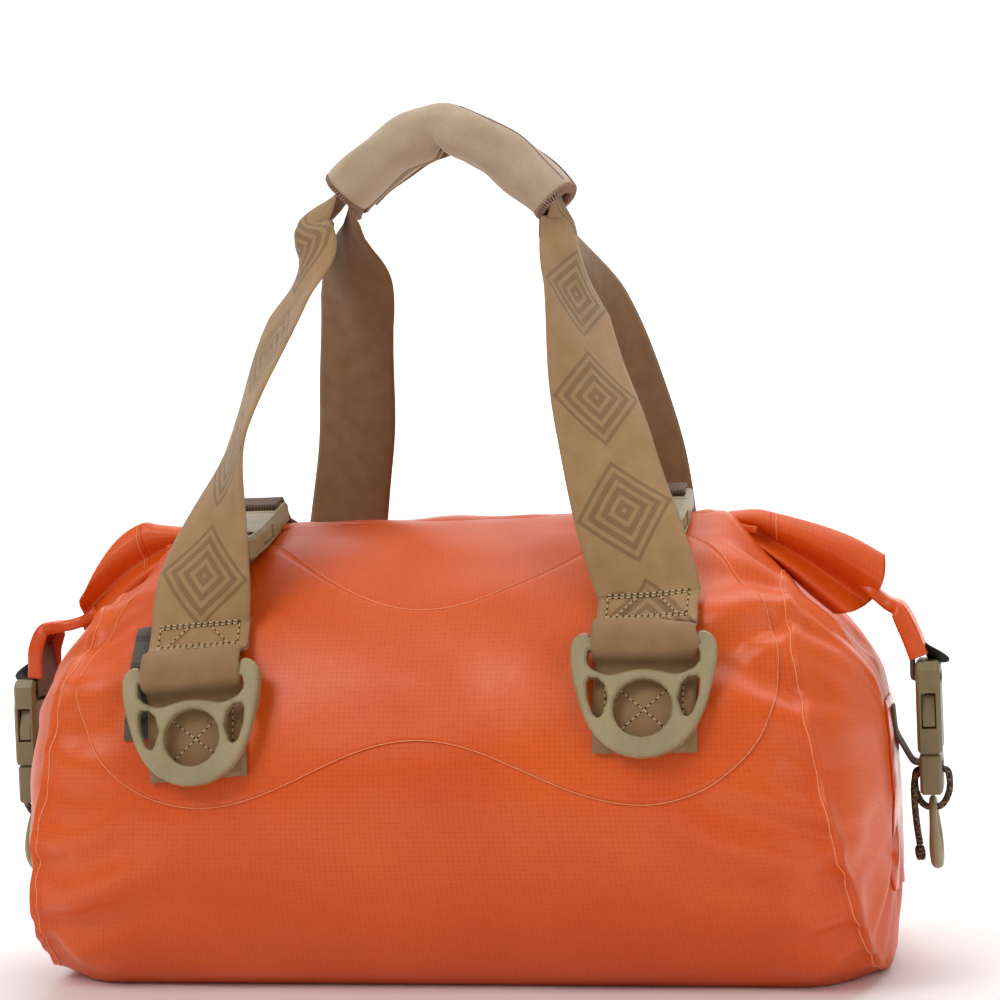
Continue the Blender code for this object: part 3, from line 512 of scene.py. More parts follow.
tube_uv = np.stack(np.broadcast_arrays(body_share[:, None] * 0.19, body_angles[None, :] * 0.117), -1).reshape(-1, 2)
shell_uv = np.concatenate([tube_uv, shell_points[len(tube_uv) :, 1:]])
shell = paint(mesh_of("body_cloth", shell_points, shell_faces), body_cloth, shell_uv)
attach(shell, "bag")
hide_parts("body_wrap", "end_panel_left", "end_panel_right")

# Everything sewn or welded on is laid on the settled cloth: a place on the tube is a share of its half
# length and an angle from its top, and a place on an end panel is a share of the way out and an angle.
tube = shell_points[: BODY_ROWS * BODY_COLUMNS].reshape(BODY_ROWS, BODY_COLUMNS, 3)
tube_out = outward(tube)
tube_out *= np.sign(-tube_out[BODY_ROWS // 2, BODY_COLUMNS // 4, 1])


def between(grid, row, column):
    """A grid's value between its points, its columns closing into a ring."""
    row = np.clip(row, 0, len(grid) - 1.001)
    i, j = np.floor(row).astype(int), np.floor(column).astype(int)
    s, t = (row - i)[..., None], (column - j)[..., None]
    j, k = j % BODY_COLUMNS, (j + 1) % BODY_COLUMNS
    return (grid[i, j] * (1 - t) + grid[i, k] * t) * (1 - s) + (grid[i + 1, j] * (1 - t) + grid[i + 1, k] * t) * s


def on_tube(share, angle, height):
    share, angle, height = np.broadcast_arrays(share, angle, height)
    row = (np.arcsin(share * math.sin(1.25)) / 1.25 + 1) / 2 * (BODY_ROWS - 1)
    column = (angle % (2 * math.pi)) / (2 * math.pi) * BODY_COLUMNS
    out = between(tube_out, row, column)
    return between(tube, row, column) + out * height[..., None]


def on_side(x, z, side, height):
    """The place on the front (side -1) or the back at a given x and height above the floor."""
    angle = -side * np.arccos(np.clip((z - SECTION_MIDDLE) / SECTION_HEIGHT, -1, 1))
    return on_tube(np.clip(x / seam_at(z), -1, 1), angle, height)


panels = {}
for end, row in ((-1, 0), (1, BODY_ROWS - 1)):
    start = BODY_ROWS * BODY_COLUMNS + (0 if end < 0 else (PANEL_RINGS - 1) * BODY_COLUMNS + 1)
    count = (PANEL_RINGS - 1) * BODY_COLUMNS
    rings = shell_points[start : start + count].reshape(-1, BODY_COLUMNS, 3)
    middle = np.broadcast_to(shell_points[start + count], (1, BODY_COLUMNS, 3))
    panels[end] = np.concatenate([tube[row][None], rings, middle])


def on_panel(end, y, z, height):
    """The place on an end panel at a given y and z, raised along the bag's length."""
    across, up = -y / (SECTION_DEPTH / 2), (z - SECTION_MIDDLE) / SECTION_HEIGHT
    reach = np.minimum(np.hypot(across, up), 1)
    column = (np.arctan2(across, up) % (2 * math.pi)) / (2 * math.pi) * BODY_COLUMNS
    places = between(panels[end], (1 - reach) * PANEL_RINGS, column)
    return places + np.array([end, 0, 0]) * np.asarray(height)[..., None]


def sheet_between(name, top, bottom):
    """A closed sheet from the grids of its two faces, of like size, joined round their borders."""
    rows, columns = top.shape[:2]
    faces = quads_of(rows, columns)
    under = [[k + rows * columns for k in f[::-1]] for f in faces]
    index = np.arange(rows * columns).reshape(rows, columns)
    rim = np.concatenate([index[0, :-1], index[:-1, -1], index[-1, :0:-1], index[:0:-1, 0]])
    ahead = np.roll(rim, -1)
    sides = np.stack([ahead, rim, rim + rows * columns, ahead + rows * columns], 1)[:, ::-1].tolist()
    thing = mesh_of(name, np.concatenate([top.reshape(-1, 3), bottom.reshape(-1, 3)]), faces + under + sides)
    outward_faces(thing)
    return thing


def outward_faces(thing):
    """Turns a closed mesh's faces to the outside."""
    import bmesh

    bm = bmesh.new()
    bm.from_mesh(thing.data)
    bmesh.ops.remove_doubles(bm, verts=bm.verts, dist=1e-6)
    bmesh.ops.recalc_face_normals(bm, faces=bm.faces)
    bm.to_mesh(thing.data)
    bm.free()


def tube_along(name, path, radius, aside, sides=8, ring=False, caps=True):
    """A round tube: circles square to the path, measured from its cross product with a direction aside."""
    path = np.asarray(path, float)
    ahead = (np.roll(path, -1, 0) - np.roll(path, 1, 0)) if ring else np.gradient(path, axis=0)
    ahead /= np.linalg.norm(ahead, axis=1, keepdims=True)
    side = np.cross(ahead, np.broadcast_to(aside, path.shape))
    side /= np.maximum(np.linalg.norm(side, axis=1, keepdims=True), 1e-9)
    other = np.cross(ahead, side)
    turn = np.arange(sides) * 2 * math.pi / sides
    radius = np.broadcast_to(radius, len(path))[:, None, None]
    points = path[:, None] + radius * (
        np.cos(turn)[None, :, None] * side[:, None] + np.sin(turn)[None, :, None] * other[:, None]
    )
    faces = quads_of(len(path), sides, ring_rows=ring, ring_columns=True)
    if not ring and caps:
        last = (len(path) - 1) * sides
        faces += [list(range(sides)), [last + k for k in range(sides)][::-1]]
    step = np.linalg.norm(np.diff(path, axis=0), axis=1)
    along = np.r_[0, np.cumsum(step)]
    uv = np.stack(np.broadcast_arrays(turn[None, :] / (2 * math.pi), along[:, None]), -1)
    thing = mesh_of(name, points, faces)
    flips(thing)
    return thing, uv


def flips(thing):
    """Recalculates normals and keeps the points as they are."""
    import bmesh

    bm = bmesh.new()
    bm.from_mesh(thing.data)
    bmesh.ops.recalc_face_normals(bm, faces=bm.faces)
    bm.to_mesh(thing.data)
    bm.free()


# End seams: the tube and the round panels are welded over a thread, which stands out as a pale, slightly
# wavy line.
for end, name in ((-1, "left"), (1, "right")):
    turn = np.linspace(0, 2 * math.pi, 360, endpoint=False)
    wave = 0.0004 * np.sin(23 * turn) + 0.0003 * np.sin(41 * turn + 2)
    path = on_tube(end * (0.985 + wave / 0.19), turn, 0.0001)
    bead, _ = tube_along(f"end_seam_{name}", path, 0.00034, (end, 0, 0), sides=6, ring=True)
    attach(paint(bead, welded_thread), "bag")

# Bone-shaped reinforcements on the front and the back: a second layer of the same cloth, welded on, two
# lobes under the straps joined by a waist. Its cut edge shows as a fine pale line.
BONE_HALF_LENGTH, BONE_MIDDLE, BONE_LOBE_AT, BONE_LOBE, BONE_WAIST = 0.175, 0.161, 0.110, 0.061, 0.030
PATCH_HEIGHT, PATCH_THICKNESS = 0.0010, 0.0009


def bone_half(x):
    """Half the bone's width: from the waist it swells by a cosine to the lobes, and closes as an ellipse."""
    swell = (1 - np.cos(math.pi * np.minimum(abs(x) / BONE_LOBE_AT, 1))) / 2
    close = np.sqrt(1 - np.clip((abs(x) - BONE_LOBE_AT) / (BONE_HALF_LENGTH - BONE_LOBE_AT), 0, 1) ** 2)
    return (BONE_WAIST + (BONE_LOBE - BONE_WAIST) * swell) * close


for side, name in ((-1, "front"), (1, "back")):
    x = BONE_HALF_LENGTH * np.sin(np.linspace(-1, 1, 111)[:, None] * math.pi / 2) * 0.9995
    x = x + np.zeros((1, 41))
    z = BONE_MIDDLE + bone_half(x) * np.linspace(-1, 1, 41)[None, :]
    top = on_side(x, z, side, PATCH_HEIGHT)
    patch = sheet_between(f"{name}_reinforcement", top, on_side(x, z, side, PATCH_HEIGHT - PATCH_THICKNESS))
    uv = np.stack([x + 0.0011, np.arccos((z - SECTION_MIDDLE) / SECTION_HEIGHT) * 0.117 + 0.0009], -1).reshape(-1, 2)
    count = len(patch.data.vertices)
    near = np.empty(count * 3)
    patch.data.vertices.foreach_get("co", near)
    near = near.reshape(-1, 3)
    uv = np.stack([near[:, 0] + 0.0011, np.arccos(np.clip((near[:, 2] - SECTION_MIDDLE) / SECTION_HEIGHT, -1, 1)) * 0.117], 1)
    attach(paint(patch, body_cloth, uv), "bag")
    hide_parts(f"{name}_patch")
    rim_x = np.r_[x[:, 0], x[::-1, 0]]
    rim_z = np.r_[z[:, 0], z[::-1, -1]]
    step = np.hypot(np.diff(rim_x, append=rim_x[0]), np.diff(rim_z, append=rim_z[0])) > 1e-5
    path = on_side(rim_x[step], rim_z[step], side, PATCH_HEIGHT - 0.0001)
    edge, _ = tube_along(f"{name}_reinforcement_edge", path, 0.00026, (0, side, 0.3), sides=6, ring=True)
    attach(paint(edge, welded_thread), "bag")

# Round-cornered patches of glossier cloth on the end panels, behind the end clips.
END_PATCH_HALF, END_PATCH_LOW, END_PATCH_HIGH = 0.034, 0.032, 0.138
for end, name in ((-1, "left"), (1, "right")):
    s = np.linspace(-1, 1, 31)[:, None] + np.zeros((1, 45))
    t = np.linspace(-1, 1, 45)[None, :] + np.zeros((31, 1))
    y = END_PATCH_HALF * s * (1 - 0.10 * abs(t) ** 8)
    z = (END_PATCH_LOW + END_PATCH_HIGH) / 2 + (END_PATCH_HIGH - END_PATCH_LOW) / 2 * t * (1 - 0.06 * abs(s) ** 8)
    patch = sheet_between(f"end_reinforcement_{name}", on_panel(end, y, z, 0.0011), on_panel(end, y, z, 0.0001))
    near = np.empty(len(patch.data.vertices) * 3)
    patch.data.vertices.foreach_get("co", near)
    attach(paint(patch, glossy_cloth, near.reshape(-1, 3)[:, 1:]), "bag")
    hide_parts(f"end_patch_{name}")

# The neck: the bag's open mouth is pressed flat, stiffened and folded back along the crest, and its two
# ends stand out past the body as hollow ears of doubled cloth that droop towards the end clips.
NECK_RISE, NECK_FRONT, NECK_BACK = 0.0092, 0.11, -0.46
EARS = {
    1: dict(
        top=[(0.143, 0.2335), (0.156, 0.2342), (0.165, 0.2325), (0.186, 0.2262), (0.2045, 0.2190), (0.2218, 0.2088)],
        foot=[(0.143, 0.2190), (0.156, 0.2145), (0.164, 0.2085), (0.1715, 0.2010), (0.182, 0.1905), (0.1945, 0.1795)],
        bulge=(0.0075, -0.0070), flap=0.0075, pouch=0.0105, groove=0.0035),
    -1: dict(
        top=[(0.143, 0.2335), (0.165, 0.2362), (0.1756, 0.2375), (0.1897, 0.2295), (0.2007, 0.2160), (0.2045, 0.2040)],
        foot=[(0.143, 0.2190), (0.158, 0.2150), (0.170, 0.2060), (0.182, 0.1960), (0.194, 0.1860), (0.2070, 0.1760)],
        bulge=(0.0060, 0.0020), flap=0.0060, pouch=0.0050, groove=0.0030),
}


def curve_through(points, count):
    """A smooth curve through points: Catmull-Rom pieces, each a cubic between two of them."""
    p = np.asarray(points, float)
    p = np.vstack([2 * p[0] - p[1], p, 2 * p[-1] - p[-2]])
    at = np.linspace(0, len(p) - 3 - 1e-9, count)
    i = np.floor(at).astype(int)
    t = (at - i)[:, None]
    a, b, c, d = p[i], p[i + 1], p[i + 2], p[i + 3]
    return b + t / 2 * (c - a + t * (2 * a - 5 * b + 4 * c - d + t * (3 * (b - c) + d - a)))


def ear_sheet(end, rows=64, columns=57):
    """The ear's front: between its top fold and its foot, pushed out by two swellings, the flap above and
    the tubular pouch below, with a hollow groove between; its far border bows out."""
    ear = EARS[end]
    along = np.linspace(0, 1, rows)[:, None]
    down = np.linspace(0, 1, columns)[None, :]
    top, foot = (curve_through(ear[k], rows)[:, None] for k in ("top", "foot"))
    place = top * (1 - down[..., None]) + foot * down[..., None]
    bow = 4 * down * (1 - down) * along**2.2
    place = place + bow[..., None] * np.array(ear["bulge"])
    swell = ease(along, 0.0, 0.35)
    flap = ear["flap"] * np.exp(-(((down - 0.26) / 0.24) ** 2)) * (0.55 + 0.45 * along)
    pouch = ear["pouch"] * np.exp(-(((down - 0.86) / 0.15) ** 2)) * swell * (1 - 0.30 * along)
    groove = ear["groove"] * np.exp(-(((down - 0.60) / 0.10) ** 2)) * swell
    crease = 0.0007 * np.sin(9 * along + 4 * down) * swell
    rounded = np.sqrt(np.clip(1 - (1 - 2 * down) ** 8, 0, 1))
    front = (flap + pouch - groove + crease + 0.0016) * rounded
    return np.stack([end * place[..., 0], -front, place[..., 1]], -1), along, down


for end, name in ((-1, "left"), (1, "right")):
    front, along, down = ear_sheet(end)
    rounded = np.sqrt(np.clip(1 - (1 - 2 * down) ** 4, 0, 1)) * np.ones_like(along)
    back = front.copy()
    back[..., 1] = 0.0055 * rounded * (1 + 0.25 * np.sin(5 * along + 3 * down)) + 0.0012
    rows, columns = front.shape[:2]
    loop = np.concatenate([front, back[:, ::-1]], 1)
    inner = loop.copy()
    centre = loop.mean(axis=1, keepdims=True)
    wall = np.cross(np.gradient(loop, axis=0), (np.roll(loop, -1, 1) - np.roll(loop, 1, 1)) / 2)
    wall /= np.maximum(np.linalg.norm(wall, axis=-1, keepdims=True), 1e-9)
    wall *= np.sign(np.sum(wall[rows // 2] * (loop - centre)[rows // 2], axis=-1).sum())
    inner = loop - wall * 0.0009
    count = loop.shape[1]
    faces = quads_of(rows, count, ring_columns=True)
    hidden = quads_of(rows, count, ring_columns=True, start=rows * count)
    first, last = np.arange(count), (rows - 1) * count + np.arange(count)
    lip = [np.stack([i, np.roll(i, -1), np.roll(i, -1) + rows * count, i + rows * count], 1) for i in (first, last)]
    ear = mesh_of(f"neck_ear_{name}", np.concatenate([loop.reshape(-1, 3), inner.reshape(-1, 3)]),
                  faces + hidden + lip[0].tolist() + lip[1].tolist())
    ear.data.materials.append(body_cloth)
    ear.data.materials.append(pale_edge)
    marks = np.zeros(len(ear.data.polygons), int)
    marks[-count:] = 1
    ear.data.polygons.foreach_set("material_index", marks)
    around = np.cumsum(np.r_[0, np.linalg.norm(np.diff(loop[rows // 2], axis=0), axis=1)])
    reach = np.cumsum(np.r_[0, np.linalg.norm(np.diff(loop[:, count // 4], axis=0), axis=1)])
    uv = np.stack(np.broadcast_arrays(reach[:, None], around[None, :]), -1).reshape(-1, 2)
    corners = np.empty(len(ear.data.loops), int)
    ear.data.loops.foreach_get("vertex_index", corners)
    ear.data.uv_layers.new(name="flat_cloth").data.foreach_set("uv", np.vstack([uv, uv])[corners].ravel())
    flips(ear)
    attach(ear, "bag")
    for k, at in enumerate((0.40, 0.435)):
        row = int(at * rows)
        path = front[row, 1 : int(columns * (0.55 if end > 0 else 0.75))] + [0, -0.0001, 0]
        seam, _ = tube_along(f"ear_seam_{name}_{k}", path, 0.0003, (end, 0, -1), sides=5)
        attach(paint(seam, welded_thread if k else body_cloth, np.zeros((len(seam.data.vertices), 2))), "bag")

# Between the ears the pressed mouth lies back over the crest as a flat band of layers, with a rounded
# fold in front and the two stiffened rims showing as steps behind.
share = np.linspace(-0.158, 0.158, 121)[:, None]
turn = np.linspace(0, 1, 61)[None, :]
fold = np.clip(turn / 0.12, 0, 1)
tail = np.clip((turn - 0.90) / 0.10, 0, 1)
angle = NECK_FRONT + (NECK_BACK - NECK_FRONT) * np.clip((turn - 0.05) / 0.93, 0, 1)
steps = 1 - 0.22 * ease(turn, 0.52, 0.56) - 0.22 * ease(turn, 0.74, 0.78)
rise = NECK_RISE * np.sqrt(1 - (1 - fold) ** 2) * steps * np.sqrt(1 - tail**2)
ends = 1 - ease(abs(share), 0.130, 0.158)
lump = 0.0006 * np.sin(61 * share + 5 * turn) + 0.0005 * np.sin(133 * share + 2)
x = share + np.zeros_like(turn)
under_clip = np.exp(-(((abs(x) - 0.109) / 0.022) ** 6))
height = (rise + lump * (rise / NECK_RISE)) * ends * (1 - 0.18 * under_clip)
base_y = -SECTION_DEPTH / 2 * np.sin(angle + 0 * x) * (1 - SECTION_SAG * np.cos(angle + 0 * x))
base_z = SECTION_MIDDLE + SECTION_HEIGHT * np.cos(angle + 0 * x)
upward = np.stack([0 * x, -np.sin(angle + 0 * x) * 0.9, np.cos(angle + 0 * x)], -1)
upward /= np.linalg.norm(upward, axis=-1, keepdims=True)
ground = np.stack([x, base_y, base_z], -1)
band = sheet_between("folded_neck", ground + upward * height[..., None], ground - upward * 0.003)
near = np.empty(len(band.data.vertices) * 3)
band.data.vertices.foreach_get("co", near)
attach(paint(band, body_cloth, near.reshape(-1, 3)[:, :2]), "bag")
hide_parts("throat", "closure_rail_front", "closure_rail_back")

# A label woven in dark thread, sewn flat to the front beside the left strap; its motif is plain bars.
LABEL_X, LABEL_Z = (-0.1485, -0.1265), (0.133, 0.185)


def woven_group():
    """Twill: a fine slanting rib from the sum of the two directions, broken into single yarns."""
    group, given, taken = new_group(
        "twill", [("Place", "NodeSocketVector"), ("Rib", "NodeSocketFloat"), ("Slant", "NodeSocketFloat")], ["Rib", "Height", "Wear"]
    )
    parts = group.nodes.new("ShaderNodeSeparateXYZ")
    group.links.new(given.outputs["Place"], parts.inputs[0])
    slanted = calc(group, "ADD", parts.outputs[0], calc(group, "MULTIPLY", parts.outputs[1], given.outputs["Slant"]))
    rib = calc(group, "PINGPONG", calc(group, "DIVIDE", slanted, given.outputs["Rib"]), 0.5)
    yarn = calc(group, "PINGPONG", calc(group, "DIVIDE", parts.outputs[1], given.outputs["Rib"]), 0.5)
    # The Rib output also sets where the webbing's colour is painted with shade, between the rib tops.
    group.links.new(calc(group, "MULTIPLY", rib, 2.0), taken.inputs["Rib"])
    group.links.new(calc(group, "ADD", rib, calc(group, "MULTIPLY", yarn, 0.6)), taken.inputs["Height"])
    worn = noise(group, given.outputs["Place"], 90, 4.0)
    group.links.new(remap(group, worn, 0.35, 0.7), taken.inputs["Wear"])
    return group


twill = woven_group()


def webbing(name, light, dark, rib, slant, roughness=0.75, place=uv_of, motif=None, depth=0.00025):
    """Woven webbing or tape: light rib tops with painted shade between them, darker too where it is worn; motif
    darkens it.
    """
    made, shader, tree = fitting(name, light, roughness, Sheen_Weight=0.15, Sheen_Roughness=0.5)
    made_of = use_group(tree, twill, place(tree), Rib=rib, Slant=slant)
    # Painted shade: the colour falls to dark in the grooves between the rib tops, where the weave is low; random wear
    # then darkens it further.
    base = blended(tree, made_of["Rib"], dark, light)
    worn = blended(tree, calc(tree, "MULTIPLY", made_of["Wear"], 0.35), base, dark)
    height = made_of["Height"]
    if motif:
        inside = motif(tree, place(tree))
        worn = blended(tree, calc(tree, "MULTIPLY", inside, 0.62), worn, tuple(0.62 * c for c in dark))
        height = calc(tree, "SUBTRACT", height, calc(tree, "MULTIPLY", inside, 0.6))
    tree.links.new(worn, shader.inputs["Base Color"])
    tree.links.new(remap(tree, made_of["Wear"], 0, 1, roughness - 0.08, roughness + 0.08), shader.inputs["Roughness"])
    bumped(tree, shader, height, 0.6, depth)
    return made


def bars(tree, place):
    """Three plain bars across the label."""
    parts = tree.nodes.new("ShaderNodeSeparateXYZ")
    tree.links.new(place, parts.inputs[0])
    row = calc(tree, "PINGPONG", calc(tree, "DIVIDE", parts.outputs[1], 0.013), 0.5)
    return calc(tree, "LESS_THAN", row, 0.12)


label_weave = webbing("woven_label_cloth", srgb(104, 92, 80), srgb(66, 57, 50), 0.0007, 0.0, 0.8, motif=bars, depth=0.0001)
x = np.linspace(*LABEL_X, 13)[:, None] + np.zeros((1, 27))
z = np.linspace(*LABEL_Z, 27)[None, :] + (x - LABEL_X[0]) * 0.07
label = sheet_between("woven_label_sheet", on_side(x, z, -1, 0.0026), on_side(x, z, -1, 0.0016))
near = np.empty(len(label.data.vertices) * 3)
label.data.vertices.foreach_get("co", near)
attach(paint(label, label_weave, near.reshape(-1, 3)[:, [0, 2]]), "bag")
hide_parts("woven_label")

# Carrying rings: tan moulded rings that hang on a fold of webbing sewn to each end of the two straps.
# They are the CAD solids with their long edges rounded over.
RINGS = ("front_left", "front_right", "back_left", "back_right")


def moulded(name, light, dark, roughness):
    """Moulded nylon: a fine grain, faint flow marks, and paler rubbed places."""
    made, shader, tree = fitting(name, light, roughness, Coat_Weight=0.10, Coat_Roughness=0.3)
    flow = remap(tree, noise(tree, place_of(tree), 60, 3.0, (1, 1, 0.35)), 0.3, 0.7)
    rubbed = remap(tree, noise(tree, place_of(tree), 700, 5.0), 0.58, 0.75, 0.0, 0.35)
    base = blended(tree, flow, dark, light)
    pale = blended(tree, rubbed, base, tuple(min(1.0, 1.35 * c) for c in light))
    tree.links.new(pale, shader.inputs["Base Color"])
    grain = noise(tree, place_of(tree), 1800, 2.0)
    tree.links.new(remap(tree, grain, 0.3, 0.7, roughness - 0.07, roughness + 0.09), shader.inputs["Roughness"])
    bumped(tree, shader, grain, 0.25, 0.00015)
    return made


tan_plastic = moulded("tan_moulded_nylon", srgb(158, 142, 104), srgb(140, 124, 88), 0.42)
olive_plastic = moulded("olive_moulded_nylon", srgb(132, 118, 82), srgb(112, 100, 68), 0.45)


def refined(node, made, body, round_over=0.0007, steps=3):
    """A copy of a CAD solid with its points merged and its edges rounded, standing for it."""
    import bmesh

    bm = bmesh.new()
    bm.from_mesh(nodes[node].data)
    bmesh.ops.remove_doubles(bm, verts=bm.verts, dist=2e-6)
    bmesh.ops.dissolve_limit(bm, angle_limit=math.radians(1.5), verts=bm.verts, edges=bm.edges)
    data = bpy.data.meshes.new(f"{node}_rounded")
    bm.to_mesh(data)
    bm.free()
    data.materials.clear()
    data.materials.append(made)
    data.shade_smooth()
    thing = bpy.data.objects.new(f"{node}_rounded", data)
    bpy.context.scene.collection.objects.link(thing)
    edge = thing.modifiers.new("rounded_edges", "BEVEL")
    edge.width, edge.segments, edge.limit_method = round_over, steps, "ANGLE"
    edge.angle_limit = math.radians(32)
    edge.use_clamp_overlap, edge.harden_normals = True, False
    level = thing.modifiers.new("even_shading", "WEIGHTED_NORMAL")
    level.keep_sharp = True
    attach(thing, body)
    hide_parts(node)
    return thing


for ring in RINGS:
    refined(f"d_ring_{ring}", tan_plastic, f"carrying_ring_{ring}", 0.0011)

# Ring keepers: a doubled length of the strap webbing is sewn flat to the body, rolls out over the ring's
# bar and comes back to the body below it, where its tail is held by a box of stitches with a cross.
WEBBING_HALF, WEBBING_THICK = 0.0254, 0.0020
# ring: origin of the bar, direction along it, direction up the body, how far its outward direction tips up, side
BAR_OFFSET = 0.0122
RING_SEATS = {
    "front_left": ((-0.1125, -0.11074, 0.16564), (0.99756, 0.01925, 0.06705), (-0.06976, 0.27529, 0.95883), 0.27596, -1),
    "front_right": ((0.1125, -0.10516, 0.17544), (1, 0, 0), (0, 0.34452, 0.93878), 0.34452, -1),
    "back_left": ((-0.09, 0.10776, 0.17108), (-1, 0, 0), (0, -0.31412, 0.94938), 0.31412, 1),
    "back_right": ((0.09, 0.10776, 0.17108), (-1, 0, 0), (0, -0.31412, 0.94938), 0.31412, 1),
}
# (up the body from the bar, height over the body) along the fold, from its top to the tail's end
KEEPER_LINE = [(0.0150, 0.0030), (0.0105, 0.0048), (0.0080, 0.0105), (0.0062, 0.0158), (0.0022, 0.0180), (-0.0022, 0.0176),
               (-0.0058, 0.0150), (-0.0072, 0.0105), (-0.0078, 0.0060), (-0.0110, 0.0034), (-0.0200, 0.0030), (-0.0350, 0.0030),
               (-0.0505, 0.0030)]


def diamonds(tree, place):
    """A woven motif: nested diamonds in blocks down the strap, drawn by how far a place is from the
    block's middle, measured along and across; the rings come from that distance's own fraction."""
    parts = tree.nodes.new("ShaderNodeSeparateXYZ")
    tree.links.new(place, parts.inputs[0])
    across = calc(tree, "DIVIDE", calc(tree, "ABSOLUTE", parts.outputs[0]), 0.0235)
    along = calc(tree, "MULTIPLY", calc(tree, "PINGPONG", calc(tree, "DIVIDE", parts.outputs[1], 0.062), 0.5), 2.0)
    far = calc(tree, "ADD", across, calc(tree, "MULTIPLY", along, 1.15))
    rings = calc(tree, "GREATER_THAN", calc(tree, "PINGPONG", calc(tree, "MULTIPLY", far, 3.6), 0.5), 0.22)
    return calc(tree, "MULTIPLY", rings, calc(tree, "LESS_THAN", far, 1.0))


strap_weave = webbing("tan_strap_webbing", srgb(184, 146, 98), srgb(132, 98, 60), 0.0011, 1.0, 0.72, motif=diamonds, depth=0.0002)
# A darker copy of the strap webbing for the straps' inner faces: painted shade, since those faces get less light.
shaded_inner_weave = webbing("inner_strap_webbing_painted_shade", srgb(150, 112, 72), srgb(104, 74, 46), 0.0011, 1.0, 0.8, depth=0.0002)
plain_weave = webbing("tan_keeper_webbing", srgb(168, 130, 84), srgb(114, 84, 52), 0.0011, 1.0, 0.75, depth=0.0002)
light_thread, _, _ = fitting("tan_thread", srgb(196, 168, 124), 0.6)
# Dark dots at the needle holes between stitches: painted shade in the holes.
needle_hole_shade, _, _ = fitting("stitch_holes_painted_shade", srgb(58, 42, 28), 0.8)


def thick_sheet(name, middle, thickness, made, body, closed_ring=False):
    """A closed sheet either side of a grid's middle surface; its UV map is in metres from the middle line."""
    along, around = np.gradient(middle, axis=0), np.gradient(middle, axis=1)
    out = np.cross(along, around)
    out /= np.maximum(np.linalg.norm(out, axis=-1, keepdims=True), 1e-9)
    half = np.broadcast_to(thickness, middle.shape[:2])[..., None] / 2
    edge = np.sqrt(np.clip(1 - np.linspace(-1, 1, middle.shape[1])[None, :, None] ** 16, 0.12, 1))
    rows, columns = middle.shape[:2]
    long = np.cumsum(np.r_[0, np.linalg.norm(np.diff(middle[:, columns // 2], axis=0), axis=1)])
    wide = np.cumsum(np.r_[0, np.linalg.norm(np.diff(middle[rows // 3], axis=0), axis=1)])
    uv = np.stack(np.broadcast_arrays(wide[None, :] - wide[-1] / 2, long[:, None]), -1).reshape(-1, 2)
    faces = quads_of(rows, columns)
    total = rows * columns
    under = [[k + total for k in f[::-1]] for f in faces]
    index = np.arange(total).reshape(rows, columns)
    rim = np.concatenate([index[0, :-1], index[:-1, -1], index[-1, :0:-1], index[:0:-1, 0]])
    ahead = np.roll(rim, -1)
    sides = np.stack([rim, ahead, ahead + total, rim + total], 1).tolist()
    points = np.concatenate([(middle + out * half * edge).reshape(-1, 3), (middle - out * half * edge).reshape(-1, 3)])
    thing = mesh_of(name, points, faces + under + sides)
    flips(thing)
    paint(thing, made, np.vstack([uv, uv]))
    if body:
        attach(thing, body)
    return thing, out


def stitches(name, rows, out, body, pitch=0.0030, length=0.0021, thick=0.00042):
    """Rows of thread: along each row of points, short six-sided beads, pointed at both ends, with a dark
    dot between one and the next that is painted shade in the needle hole."""
    for made, size, shift, suffix, fat in (
        (light_thread, length, 0.0, "thread", 1.0),
        (needle_hole_shade, 0.0008, 0.5, "holes", 1.15),
    ):
        points, faces, start = [], [], 0
        for row in rows:
            row = np.asarray(row, float)
            far = np.r_[0, np.cumsum(np.linalg.norm(np.diff(row, axis=0), axis=1))]
            count = max(2, int(far[-1] / pitch))
            at = (np.arange(count) + 0.5 * (1 + 0 * shift) + shift - 0.25) * far[-1] / count
            middle = np.stack([np.interp(at, far, row[:, k]) for k in range(3)], -1)
            tip = np.stack([np.interp(at + pitch * 0.1, far, row[:, k]) for k in range(3)], -1)
            ahead = tip - np.stack([np.interp(at - pitch * 0.1, far, row[:, k]) for k in range(3)], -1)
            ahead /= np.maximum(np.linalg.norm(ahead, axis=1, keepdims=True), 1e-9)
            side = np.cross(ahead, out)
            side /= np.linalg.norm(side, axis=1, keepdims=True)
            up = np.cross(side, ahead)
            turn = np.arange(6) * math.pi / 3
            stations = np.array([-0.5, -0.32, 0.32, 0.5]) * size
            girth = np.array([0.35, 1.0, 1.0, 0.35]) * thick * fat
            ring = (
                middle[:, None, None]
                + stations[None, :, None, None] * ahead[:, None, None]
                + (girth[None, :, None] * np.cos(turn))[..., None] * side[:, None, None]
                + (0.6 * girth[None, :, None] * np.sin(turn))[..., None] * up[:, None, None]
            )
            points.append(ring.reshape(-1, 3))
            one = quads_of(4, 6, ring_columns=True) + [[5, 4, 3, 2, 1, 0], [18, 19, 20, 21, 22, 23]]
            faces += [[k + start + 24 * i for k in f] for i in range(count) for f in one]
            start += 24 * count
        thread = paint(mesh_of(f"{name}_{suffix}", np.concatenate(points), faces), made)
        flips(thread)
        if body:
            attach(thread, body)
        if not body:
            yield thread


